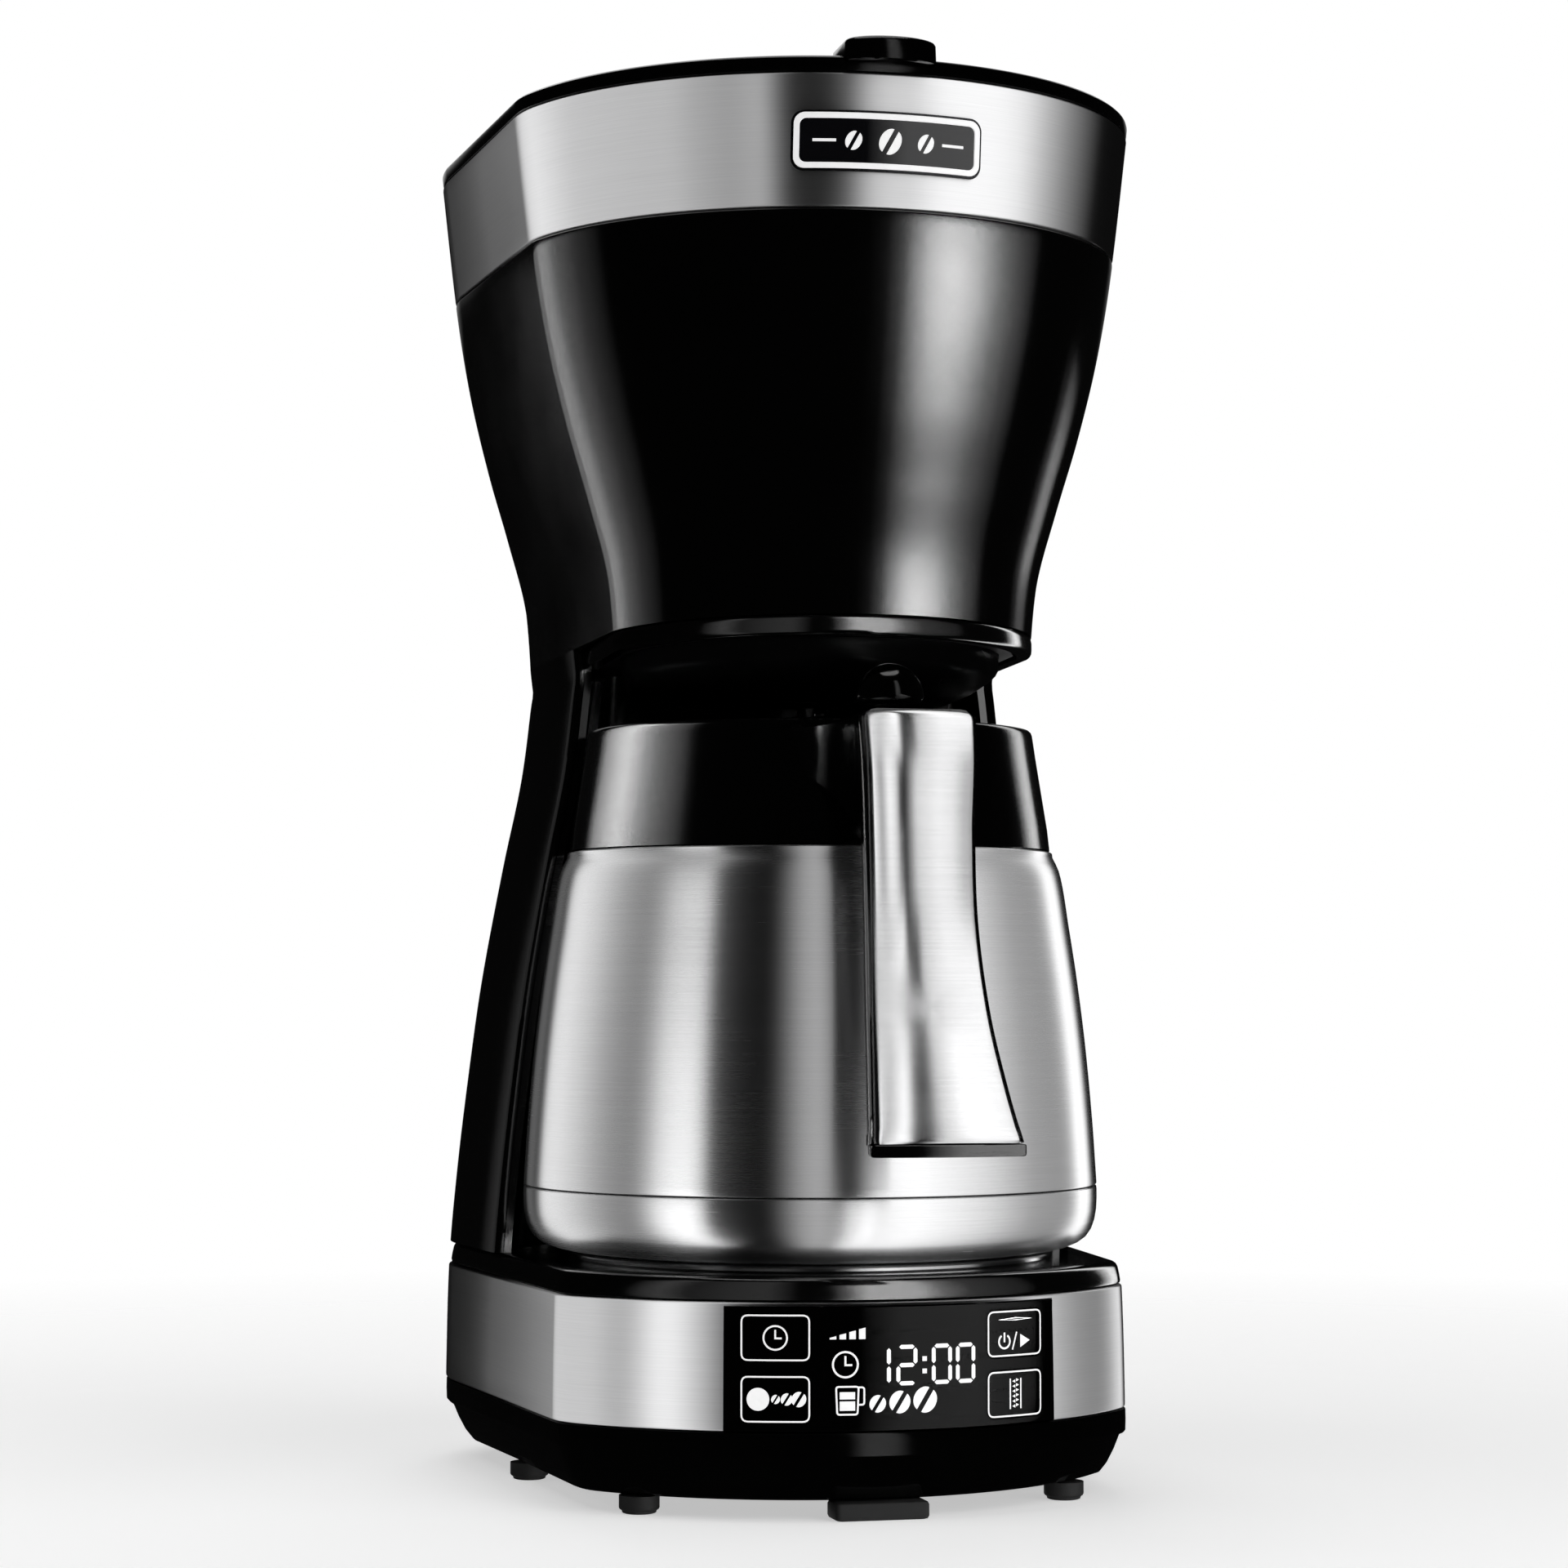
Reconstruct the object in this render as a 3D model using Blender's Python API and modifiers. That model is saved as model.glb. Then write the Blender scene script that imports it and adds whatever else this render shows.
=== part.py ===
"""Drip coffee maker with a thermal carafe, as separate pieces.

Lengths below are in millimetres and become metres as each shape is made. The
carafe's axis is the Z axis while the pieces are built, the front looks along -Y,
and the whole machine hangs on one empty that puts its middle over the origin.

Each shape function returns an object in machine space. part() makes it a
sub-part, cut() takes it out of another one and join() adds it to another one.
"""

import math

import bmesh
import bpy
from mathutils import Matrix, Vector

MM = 0.001
MERGE = 0.00005
WELD = 0.000001
GAP = 0.3
CENTRE_SHIFT_Y = 10.6

# Heights above the datum, which is the feet's length above the table
TABLE_Z = -1.7
SKIRT_Z = 3.0
BAND_Z = 21.5
BAND_TOP_Z = 54.0
DECK_Z = 60.4
REST_Z = 62.0
CARAFE_Z = 62.3
SEAM_Z = 80.0
COLLAR_Z = 171.2
RIM_Z = 204.5
FUNNEL_Z = 210.4
WAIST_Z = 222.0
RING_Z = 226.2
HEAD_Z = 231.6
STEEL_Z = 334.8
STEEL_TOP_Z = 368.8
LID_TOP_Z = 373.6
TAB_TOP_Z = 377.9

# Plan of the body: a front arc, two side facets and a rounded back
SIDE_Y = 70.0
WING_Y = 27.0
WAIST_FRONT = 62.0
# Side half-width, corner x, corner y, front y and back y at the waist, then their growth
WAIST_PLAN = (64.2, 57.8, -18.0, -WAIST_FRONT, 113.0)
HEAD_GROWTH = (28.0, 28.7, -3.0, -25.0, 7.0)
BASE_GROWTH = (25.0, 20.0, -24.0, -19.5, 7.0)
HEAD_TILT = 0.035
# How far the plan has opened out from the waist to the lid, and to the base
UPPER_SWELL = ((222, 0), (245, 0.085), (265, 0.275), (285, 0.485), (307, 0.675), (331, 0.82), (374, 1))
LOWER_SWELL = (
    (15, 1), (54, 0.965), (80, 0.88), (108, 0.75), (136, 0.595), (169, 0.35), (195, 0.135), (222, 0)
)

# Carafe: (radius, height) down its side
RIM_R = 61.4
BODY_PROFILE = ((66.3, 171.0), (69.0, 165), (71.5, 150), (73.6, 136), (75.8, 118), (77.6, 98), (78.75, 80.3))

# Handle: middle line of the steel cover (y, z) and its half-width
HANDLE_LINE = (
    (-113.5, 203.2, 14.3),
    (-115.6, 190, 14.0),
    (-115.6, 172, 13.5),
    (-117.6, 150, 13.6),
    (-123.5, 128, 14.9),
    (-132.0, 110, 16.8),
    (-139.6, 96.5, 18.6),
)

# The web from the collar to the handle: y, half-width, lower and upper height
BRIDGE_LINE = (
    (-56, 19.4, 187.6, 202.6),
    (-61, 17.8, 186.2, 202.8),
    (-68, 15.0, 183.4, 203),
    (-77, 13.2, 179, 203),
    (-88, 12.6, 174.6, 203.2),
    (-99, 13, 171.4, 203.4),
    (-106, 13.4, 170.4, 203.6),
)
# The collar's outside with room round it, cut out of the web
COLLAR_FIT = (
    (66.6, 160), (66.4, 172), (65.9, 177), (64.3, 187), (62.7, 197), (61.4, 206), (40, 206), (40, 160)
)

# Control panel: it sits a little to the right of the middle
PANEL_TURN = 2.6
PANEL_HALF_TURN = 27.6
PANEL_TOP_Z = 52.8
KEY_W = 18.4
KEY_H = 12.4
KEY_T = 3.0
KEY_CORNER = 2.2
KEY_SUNK = 0.25
# Name, turn round the front arc in degrees, height
KEYS = (
    ("key_clock", -17.2, 45.2),
    ("key_strength", -17.2, 29.7),
    ("key_power", 22.3, 44.8),
    ("key_descale", 22.3, 29.3),
)

BADGE_Z = 351.3
BADGE_HALF_W = 25.5
BADGE_HALF_H = 7.9
BADGE_CORNER = 3.2

FEET = (
    ("foot_front_left", -57.5, -48),
    ("foot_front_right", 57.5, -48),
    ("foot_side_left", -73.5, 26),
    ("foot_side_right", 73.5, 26),
)
RISER_XY = (50.5, 81.0)
OUTLET_XY = (0.0, 92.0)
TANK_HALF = 44.0
HEATER_R = 44.0
HEATER_MIDDLE_Y = 4.0
HEATER_Z = 34.0
HEATER_REACH = 132.0
GLAND_X = 30.0
GLAND_Z = 34.0
LID_AXIS_Y = 106.0
LID_AXIS_Z = 371.2
LEVER_AXIS_Y = -34.0
LEVER_AXIS_Z = 206.6
SIDE_NAMES = {-1: "left", 1: "right"}

ROUND_STEPS = 32
CARAFE_STEPS = 36
SMALL_STEPS = 16
FRONT_STEPS = 12
BACK_STEPS = 6
SHARP_ANGLE = 32.0


# ---------------------------------------------------------------- scene

def clear_scene():
    for old in list(bpy.data.objects):
        bpy.data.objects.remove(old, do_unlink=True)


def new_collection(name):
    collection = bpy.data.collections.new(name)
    bpy.context.scene.collection.children.link(collection)
    return collection


def new_empty(name, parent=None, place=(0, 0, 0)):
    empty = bpy.data.objects.new(name, None)
    PARTS.objects.link(empty)
    empty.empty_display_size = 0.02
    empty.parent = parent
    empty.location = Vector(place) * MM
    return empty


def material(name, colour, roughness, metallic=0.0, alpha=1.0, transmission=0.0):
    made = bpy.data.materials.new(name)
    made.use_nodes = True
    made.diffuse_color = (*colour, alpha)
    shader = made.node_tree.nodes["Principled BSDF"]
    shader.inputs["Base Color"].default_value = (*colour, 1)
    shader.inputs["Roughness"].default_value = roughness
    shader.inputs["Metallic"].default_value = metallic
    shader.inputs["Transmission Weight"].default_value = transmission
    return made


# ---------------------------------------------------------------- sub-parts

def part(name, made, finish, parent):
    """Turns a shape into a sub-part of the given body."""
    made.name = made.data.name = name
    made.data.materials.append(finish)
    PARTS.objects.link(made)
    made.parent = parent
    made.location -= Vector(parent.get("at", (0, 0, 0))) * MM
    return made


def body_empty(name, place):
    """The empty of a moving body, sitting on its joint's axis."""
    made = new_empty(name, MACHINE, place)
    made["at"] = place
    return made


def combine(target, other, name, operation):
    """Uses a shape as the second half of a Boolean."""
    other.name = other.data.name = name
    CUTTERS.objects.link(other)
    other.parent = MACHINE
    other.hide_render = True
    other.display_type = "WIRE"
    boolean = target.modifiers.new(name, "BOOLEAN")
    boolean.operation = operation
    boolean.solver = "EXACT"
    boolean.object = other


def cut(target, shape, name):
    combine(target, shape, name, "DIFFERENCE")


def join(target, shape, name):
    combine(target, shape, name, "UNION")


# ---------------------------------------------------------------- shapes

def as_object(shape, place=(0, 0, 0), turn=None):
    """An object from a bmesh in metres, set at a place in mm and smoothed."""
    mesh = bpy.data.meshes.new("shape")
    bmesh.ops.recalc_face_normals(shape, faces=shape.faces)
    shape.to_mesh(mesh)
    shape.free()
    mesh.shade_smooth()
    mesh.set_sharp_from_angle(angle=math.radians(SHARP_ANGLE))
    made = bpy.data.objects.new("shape", mesh)
    made.location = Vector(place) * MM
    if turn:
        made.rotation_euler = turn.to_euler()
    return made


def block(low, high):
    """A box between two opposite corners."""
    low, high = Vector(low), Vector(high)
    shape = bmesh.new()
    bmesh.ops.create_cube(shape, size=1, matrix=Matrix.Diagonal(((high - low) * MM).to_4d()))
    return as_object(shape, (low + high) / 2)


def rod(start, end, radius, steps=SMALL_STEPS):
    """A round bar between two points."""
    start, end = Vector(start), Vector(end)
    along = end - start
    shape = bmesh.new()
    bmesh.ops.create_cone(
        shape,
        cap_ends=True,
        segments=steps,
        radius1=radius * MM,
        radius2=radius * MM,
        depth=along.length * MM,
    )
    return as_object(shape, start + along / 2, along.to_track_quat("Z", "Y"))


def runs_down(profile):
    """Whether a (radius, height) outline goes down its outer side."""
    pairs = zip(profile, profile[1:] + profile[:1])
    return sum(r0 * z1 - r1 * z0 for (r0, z0), (r1, z1) in pairs) < 0


def turned(profile, steps=ROUND_STEPS, centre=(0, 0), ring_shaped=True):
    """A round piece about an upright axis, from (radius, height) pairs in mm.

    A ring-shaped profile closes on itself, and any other one closes on the axis.
    """
    profile = list(profile)
    if not ring_shaped:
        profile = [(0, profile[0][1])] + profile + [(0, profile[-1][1])]
    if not runs_down(profile):
        profile.reverse()
    edges = [(i, i + 1) for i in range(len(profile) - 1)]
    if ring_shaped:
        edges.append((len(profile) - 1, 0))
    mesh = bpy.data.meshes.new("shape")
    mesh.from_pydata([(radius * MM, 0, z * MM) for radius, z in profile], edges, [])
    made = bpy.data.objects.new("shape", mesh)
    made.location = Vector((*centre, 0)) * MM
    screw = made.modifiers.new("turn", "SCREW")
    screw.steps = screw.render_steps = steps
    screw.use_merge_vertices = True
    screw.merge_threshold = MERGE
    screw.use_smooth_shade = True
    return made


def curve_object(points, closed=False):
    """A curve along points in mm, one straight piece after another."""
    curve = bpy.data.curves.new("shape", "CURVE")
    spline = curve.splines.new("POLY")
    spline.points.add(len(points) - 1)
    for point, at in zip(spline.points, points):
        point.co = (*(Vector(at) * MM), 1)
    spline.use_cyclic_u = closed
    spline.use_smooth = True
    return bpy.data.objects.new("shape", curve)


def pipe(path, radius, sides=8, wall=None):
    """A wire or a bent rod along a list of points, or a hose where wall is given."""
    made = curve_object(path)
    made.data.dimensions = "3D"
    made.data.bevel_depth = radius * MM
    made.data.bevel_resolution = sides // 2 - 2
    made.data.use_fill_caps = wall is None
    if wall:
        shell = made.modifiers.new("wall", "SOLIDIFY")
        shell.thickness = wall * MM
        shell.offset = -1
    return made


def slab(outline, low, high, place=(0, 0, 0), turn=None):
    """A flat outline of (x, y) pairs made solid between two heights."""
    flat = curve_object([(x, y, 0) for x, y in outline], True)
    flat.data.dimensions = "2D"
    flat.data.fill_mode = "BOTH"
    flat.data.extrude = (high - low) / 2 * MM
    bpy.context.scene.collection.objects.link(flat)
    bpy.context.view_layer.update()
    graph = bpy.context.evaluated_depsgraph_get()
    mesh = bpy.data.meshes.new_from_object(flat.evaluated_get(graph))
    bpy.data.objects.remove(flat)
    shape = bmesh.new()
    shape.from_mesh(mesh)
    bpy.data.meshes.remove(mesh)
    bmesh.ops.remove_doubles(shape, verts=shape.verts, dist=WELD)
    bmesh.ops.translate(shape, verts=shape.verts, vec=(0, 0, (low + high) / 2 * MM))
    return as_object(shape, place, turn)


def loft(rings, ring_shaped=False):
    """A solid through unlike rings of equal length, capped or joined end to start."""
    shape = bmesh.new()
    rows = [[shape.verts.new(Vector(point) * MM) for point in ring] for ring in rings]
    following = rows[1:] + rows[:1] if ring_shaped else rows[1:]
    for row, after in zip(rows, following):
        for i in range(len(row)):
            shape.faces.new((row[i - 1], row[i], after[i], after[i - 1]))
    if not ring_shaped:
        shape.faces.new(rows[0])
        shape.faces.new(rows[-1])
    return as_object(shape)


def rounded_rectangle(half_w, half_h, radius, steps=4):
    """Corner points of a rounded rectangle about the origin, anticlockwise."""
    outline = []
    for quarter, (sx, sy) in enumerate(((1, 1), (-1, 1), (-1, -1), (1, -1))):
        for step in range(steps + 1):
            turn = math.pi / 2 * (quarter + step / steps)
            outline.append((
                sx * (half_w - radius) + radius * math.cos(turn),
                sy * (half_h - radius) + radius * math.sin(turn),
            ))
    return outline


def bend(corners, radius, steps=4):
    """A path through corner points with each inner corner rounded."""
    corners = [Vector(point) for point in corners]
    path = [corners[0]]
    for before, at, after in zip(corners, corners[1:], corners[2:]):
        first = at + (before - at).normalized() * radius
        last = at + (after - at).normalized() * radius
        for step in range(steps + 1):
            t = step / steps
            path.append(first * (1 - t) ** 2 + at * 2 * t * (1 - t) + last * t ** 2)
    return path + [corners[-1]]


# ---------------------------------------------------------------- body plan

def eased(stations, at):
    """A smooth curve through (position, value) stations."""
    if at <= stations[0][0]:
        return stations[0][1]
    for i in range(len(stations) - 1):
        (x0, y0), (x1, y1) = stations[i], stations[i + 1]
        if at > x1:
            continue
        xa, ya = stations[max(i - 1, 0)]
        xb, yb = stations[min(i + 2, len(stations) - 1)]
        slope0 = (y1 - ya) / (x1 - xa) * (x1 - x0)
        slope1 = (yb - y0) / (xb - x0) * (x1 - x0)
        t = (at - x0) / (x1 - x0)
        return (
            (2 * t ** 3 - 3 * t * t + 1) * y0 + (t ** 3 - 2 * t * t + t) * slope0
            + (3 * t * t - 2 * t ** 3) * y1 + (t ** 3 - t * t) * slope1
        )
    return stations[-1][1]


def body_sizes(z):
    """(side half-width, corner x, corner y, front y, back y) of the body at height z."""
    growth, swell = (HEAD_GROWTH, UPPER_SWELL) if z >= WAIST_Z else (BASE_GROWTH, LOWER_SWELL)
    opened = eased(swell, z)
    return [size + more * opened for size, more in zip(WAIST_PLAN, growth)]


def front_axis(z):
    """(radius, centre y, half-angle) of the front arc at height z."""
    _, corner_x, corner_y, front_y, _ = body_sizes(z)
    rise = corner_y - front_y
    radius = (corner_x ** 2 + rise ** 2) / (2 * rise)
    centre_y = front_y + radius
    return radius, centre_y, math.acos((centre_y - corner_y) / radius)


def front_arc(z, inset=0.0, steps=FRONT_STEPS):
    """(x, y) along the front arc, from the left corner to the right one."""
    radius, centre_y, half = front_axis(z)
    turns = [half * (2 * i / steps - 1) for i in range(steps + 1)]
    return [((radius - inset) * math.sin(t), centre_y - (radius - inset) * math.cos(t)) for t in turns]


def rear_path(z, inset=0.0, steps=BACK_STEPS, start_y=WING_Y):
    """(x, y) from the right wing's front edge round the back to the left one's."""
    side, corner_x, corner_y, _, back = body_sizes(z)
    wing = corner_x + (side - corner_x) * (start_y - corner_y) / (SIDE_Y - corner_y)
    right = [(wing - inset, start_y)]
    for i in range(steps + 1):
        t = math.pi / 2 * i / steps
        x = (side - inset) * max(math.cos(t), 0) ** 0.72
        y = SIDE_Y + (back - inset - SIDE_Y) * math.sin(t) ** 0.72
        right.append((x, y))
    right[-1] = (0, back - inset)
    return right + [(-x, y) for x, y in right[-2::-1]]


def full_outline(z, inset=0.0):
    return front_arc(z, inset) + rear_path(z, inset)


def at_height(outline, z, tilt=0.0):
    """Lifts an outline to height z; tilt drops it towards the back."""
    return [(x, y, z - tilt * (y + WAIST_FRONT)) for x, y in outline]


def cup(outer, inner, steps=ROUND_STEPS):
    """A round cup: outer runs from the rim down, inner from the floor up."""
    return turned(inner + outer, steps, ring_shaped=False)


def wall(levels, thickness, outline=full_outline, tilts=None, inset=0.0):
    """A hollow wall that follows the body between heights."""
    tilts = tilts or [0] * len(levels)
    outer = [at_height(outline(z, inset), z, k) for z, k in zip(levels, tilts)]
    inner = [at_height(outline(z, inset + thickness), z, k) for z, k in zip(levels, tilts)]
    return loft(outer + inner[::-1], True)


def spread(low, high, count):
    return [low + (high - low) * i / count for i in range(count + 1)]


# ---------------------------------------------------------------- base

def make_feet():
    top = SKIRT_Z - 0.02
    for name, x, y in FEET:
        profile = ((4.5, TABLE_Z), (5.3, TABLE_Z + 0.8), (5.3, top))
        part(name, turned(profile, SMALL_STEPS, (x, y), False), RUBBER, MACHINE)
    part("foot_front_centre", block((-12.4, -77.4, TABLE_Z), (12.4, -67, top)), RUBBER, MACHINE)
    part("foot_rear_centre", block((-46, 92, TABLE_Z), (46, 101, top)), RUBBER, MACHINE)


def make_base_floor():
    floor = slab(full_outline(20, 16 + GAP), SKIRT_Z, SKIRT_Z + 2.5)
    part("base_floor", floor, BLACK_PLASTIC, MACHINE)


def make_base_skirt():
    outer = ((SKIRT_Z, 9), (3.8, 7.4), (6.4, 5.4), (10, 3.5), (14.2, 2), (14.8, 0.4), (BAND_Z - GAP, 0.2))
    inner = ((BAND_Z - GAP, 4.5), (8, 8.5), (SKIRT_Z, 16))
    rings = [at_height(full_outline(z, inset), z) for z, inset in outer + inner]
    part("base_skirt", loft(rings, True), BLACK_GLOSS, MACHINE)


def make_base_band():
    levels = spread(BAND_Z, BAND_TOP_Z, 3)
    band = part("base_band", wall(levels, 2.0), STEEL, MACHINE)
    cut(band, panel_opening(BAND_Z - 5, PANEL_TOP_Z + GAP, GAP), "band_opening")
    cut(band, gland_hole(), "band_gland_hole")


def gland_hole():
    return rod((GLAND_X, 100, GLAND_Z), (GLAND_X, 130, GLAND_Z), 5 + GAP)


def make_base_frame():
    """The moulded wall behind the steel band, which carries the deck."""
    levels = [BAND_Z, BAND_TOP_Z]
    frame = part("base_frame", wall(levels, 2.2, inset=2.0 + GAP), BLACK_PLASTIC, MACHINE)
    cut(frame, panel_opening(BAND_Z - 5, PANEL_TOP_Z + 0.4, 1), "frame_opening")
    cut(frame, gland_hole(), "frame_gland_hole")


def make_deck():
    edge = ((BAND_TOP_Z + GAP, 0.5), (BAND_TOP_Z + 4, 0.9), (DECK_Z - 1, 1.6), (DECK_Z, 2.8))
    rings = [at_height(full_outline(60, inset), z) for z, inset in edge]
    deck = part("platform_deck", loft(rings), BLACK_GLOSS, MACHINE)
    cut(deck, slab(full_outline(60, 4), BAND_TOP_Z - 3, DECK_Z - 2.6), "deck_hollow")
    cut(deck, rod((*RISER_XY, DECK_Z - 8), (*RISER_XY, DECK_Z + 3), 4.5), "deck_riser_hole")
    cut(deck, rod((*OUTLET_XY, DECK_Z - 8), (*OUTLET_XY, DECK_Z + 3), 6.5), "deck_outlet_hole")


def make_rest_plate():
    profile = ((66.3, DECK_Z + 0.05), (66.3, REST_Z - 0.4), (65.8, REST_Z))
    part("carafe_rest_plate", turned(profile, 40, ring_shaped=False), STEEL, MACHINE)


# ---------------------------------------------------------------- control panel

def panel_arc(out, margin=0.0, steps=18):
    """Points along the panel's curve, which is the band's front arc moved outwards."""
    radius, centre_y, _ = front_axis(40)
    half = PANEL_HALF_TURN + math.degrees(margin / radius)
    turns = [math.radians(PANEL_TURN + half * (2 * i / steps - 1)) for i in range(steps + 1)]
    return [((radius + out) * math.sin(t), centre_y - (radius + out) * math.cos(t)) for t in turns]


def panel_opening(low, high, margin):
    """The cut that the panel sits in."""
    return slab(panel_arc(8, margin) + panel_arc(-12, margin)[::-1], low, high)


def make_panel():
    plate = slab(panel_arc(0) + panel_arc(-2.6)[::-1], BAND_Z + 0.1, PANEL_TOP_Z)
    panel = part("control_panel", plate, BLACK_GLOSS, MACHINE)
    for name, degrees, z in KEYS:
        cut(panel, key_block(degrees, z, GAP, -6, 3), name + "_opening")


def key_place(degrees, z, out):
    """The point out of the panel's curve at a turn and a height."""
    radius, centre_y, _ = front_axis(40)
    turn = math.radians(degrees)
    return (radius + out) * math.sin(turn), centre_y - (radius + out) * math.cos(turn), z


def key_block(degrees, z, margin, low, high):
    """A rounded block square to the panel's curve; low and high are distances out of it."""
    outline = rounded_rectangle(KEY_W / 2 + margin, KEY_H / 2 + margin, KEY_CORNER + margin)
    facing = Matrix.Rotation(math.radians(degrees), 3, "Z") @ Matrix.Rotation(math.pi / 2, 3, "X")
    middle = (low + high) / 2
    return slab(outline, low - middle, high - middle, key_place(degrees, z, middle), facing)


def make_keys():
    for name, degrees, z in KEYS:
        body = body_empty(name + "_body", key_place(degrees, z, -(KEY_T + KEY_SUNK) / 2))
        part(name, key_block(degrees, z, 0, -KEY_T, -KEY_SUNK), BLACK_GLOSS, body)


def make_electronics():
    board = slab(((-27, -70.6), (33, -69.4), (33, -67.8), (-27, -69)), 26, 50)
    part("control_board", board, BOARD_GREEN, MACHINE)
    part("clock_display", block((-12, -75.8, 30), (20, -71, 49)), DARK_GLASS, MACHINE)
    part("power_led", rod((28.5, -70, 50.3), (28.5, -70, 51.6), 1.2), LED_WHITE, MACHINE)


# ---------------------------------------------------------------- column and water tank

def wing_wall(z, outer_inset, inner_inset):
    """A C-shaped plan: the body's rear path with a wall inside it."""
    outer = rear_path(z, outer_inset)
    inner = rear_path(z, inner_inset)
    return outer + inner[::-1]


def make_column_shell():
    levels = [DECK_Z + 0.1, 72, 92, 115, 140, 165, 185, 203, 216]
    rings = [at_height(wing_wall(z, 0, 2.6), z) for z in levels]
    rings.append(at_height(wing_wall(HEAD_Z - GAP, 0, 2.6), HEAD_Z - GAP, HEAD_TILT))
    part("column_shell", loft(rings), BLACK_GLOSS, MACHINE)


def bay_half(z, inset):
    return rear_path(z, 2.6 + GAP + inset)[0][0]


def bay_outline(z, inset, steps=14):
    """The carafe bay: straight from the wing edges, then an ellipse behind the carafe."""
    half = bay_half(z, inset)
    depth = 83.5 if z < 172 else 83.5 - (z - 172) * 0.26
    depth -= inset
    turns = [math.pi * i / steps for i in range(steps + 1)]
    return [(half * math.cos(t), WING_Y + (depth - WING_Y) * math.sin(t)) for t in turns]


def make_bay_wall():
    levels = [DECK_Z + 0.1, 80, 108, 136, 169, 195, 212]
    rings = [at_height(bay_outline(z, 0) + bay_outline(z, 2)[::-1], z) for z in levels]
    top = HEAD_Z - 2
    rings.append(at_height(bay_outline(top, 0) + bay_outline(top, 2)[::-1], top, HEAD_TILT))
    bay = part("carafe_bay_wall", loft(rings), BLACK_GLOSS, MACHINE)
    for side in (-1, 1):
        cut(bay, level_window(side, GAP, 6), "window_slot_" + SIDE_NAMES[side])


def level_window(side, margin, depth):
    """A strip through the bay wall beside the carafe, leaning with the wall."""
    rings = []
    for z in (196 - margin, 221 + margin):
        lean = bay_outline(z, 1)[2]
        x, y = lean[0] * side, lean[1]
        out = Vector((x / bay_half(z, 1), (y - WING_Y) / 46, 0)).normalized()
        across = Vector((-out.y, out.x, 0))
        middle = Vector((x, y, z))
        half = 3.2 + margin
        rings.append([middle + across * u * half + out * v * depth / 2
                      for u, v in ((-1, -1), (1, -1), (1, 1), (-1, 1))])
    return loft(rings)


def make_level_windows():
    for side in (-1, 1):
        part("level_window_" + SIDE_NAMES[side], level_window(side, 0, 2.6), CLEAR_PLASTIC, MACHINE)


def tank_outline(z, inset):
    """Between the bay wall and the back of the body."""
    front = 87.6 + inset
    back = body_sizes(z)[4] - 5 - inset
    half = TANK_HALF - inset
    right = [(half, front), (half, back - 8), (half - 14, back)]
    return right + [(-x, y) for x, y in right[::-1]]


def make_tank():
    tank = part("water_tank", slab(tank_outline(WAIST_Z, 0), 66, 352), CLEAR_PLASTIC, MACHINE)
    cut(tank, slab(tank_outline(WAIST_Z, 2), 68.5, 360), "tank_hollow")
    cut(tank, rod((*OUTLET_XY, 60), (*OUTLET_XY, 75), 3.2), "tank_outlet_hole")


# ---------------------------------------------------------------- brew head

def make_upper_shell():
    levels = [HEAD_Z, 240, 252, 266, 282, 300, 318, STEEL_Z - GAP]
    tilts = [HEAD_TILT] + [0] * 7
    part("upper_shell", wall(levels, 2.4, tilts=tilts), BLACK_GLOSS, MACHINE)


def make_upper_band():
    part("upper_band", wall([STEEL_Z, 346, 357, STEEL_TOP_Z], 2.0), STEEL, MACHINE)


def on_front(u, z, out):
    """The point at u mm round the front arc from its middle, and out of it."""
    radius, centre_y, _ = front_axis(z)
    turn = u / radius
    return (radius + out) * math.sin(turn), centre_y - (radius + out) * math.cos(turn), z


def make_badge():
    """A plain plate with rounded ends, bent round the steel band."""
    steps = 14
    rings = []
    for i in range(steps + 1):
        u = BADGE_HALF_W * math.sin(math.pi * (i / steps - 0.5))
        past = max(abs(u) - BADGE_HALF_W + BADGE_CORNER, 0)
        half = BADGE_HALF_H - BADGE_CORNER + math.sqrt(BADGE_CORNER ** 2 - past ** 2) * 0.98
        corners = ((-half, 0.4), (half, 0.4), (half, 1.5), (-half, 1.5))
        rings.append([on_front(u, BADGE_Z + v, out) for v, out in corners])
    part("badge_plate", loft(rings), DARK_METAL, MACHINE)


def make_flange_ring():
    """The strip round the bottom of the head, in front of the column."""
    rings = []
    for z, out in ((RING_Z, 0.2), (RING_Z + 1, 0.9), (HEAD_Z - 1.3, 0.9), (HEAD_Z - GAP, 0.2)):
        wing = rear_path(WAIST_Z, 2.9, start_y=WING_Y - GAP)[0][0]
        arc = [(-wing - out, WING_Y - GAP)] + front_arc(WAIST_Z, -out) + [(wing + out, WING_Y - GAP)]
        inner = [(-wing + 3, WING_Y - GAP)] + front_arc(WAIST_Z, 3) + [(wing - 3, WING_Y - GAP)]
        rings.append(at_height(arc + inner[::-1], z, HEAD_TILT))
    part("flange_ring", loft(rings), BLACK_GLOSS, MACHINE)


def make_funnel():
    """The dish over the carafe, with the drip outlet in its middle."""
    slope = ((50, 218.6), (45, 215.4), (38, 212.4), (30, FUNNEL_Z))
    outer = ((52.3, 226.4), (52.3, 221.4)) + slope + ((7.5, FUNNEL_Z),)
    inner = ((7.5, FUNNEL_Z + 2), (29, FUNNEL_Z + 2), (37, 214.4), (44, 217.6), (49.6, 222), (49.9, 226.4))
    part("brew_funnel", turned(outer + inner), BLACK_SATIN, MACHINE)


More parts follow.
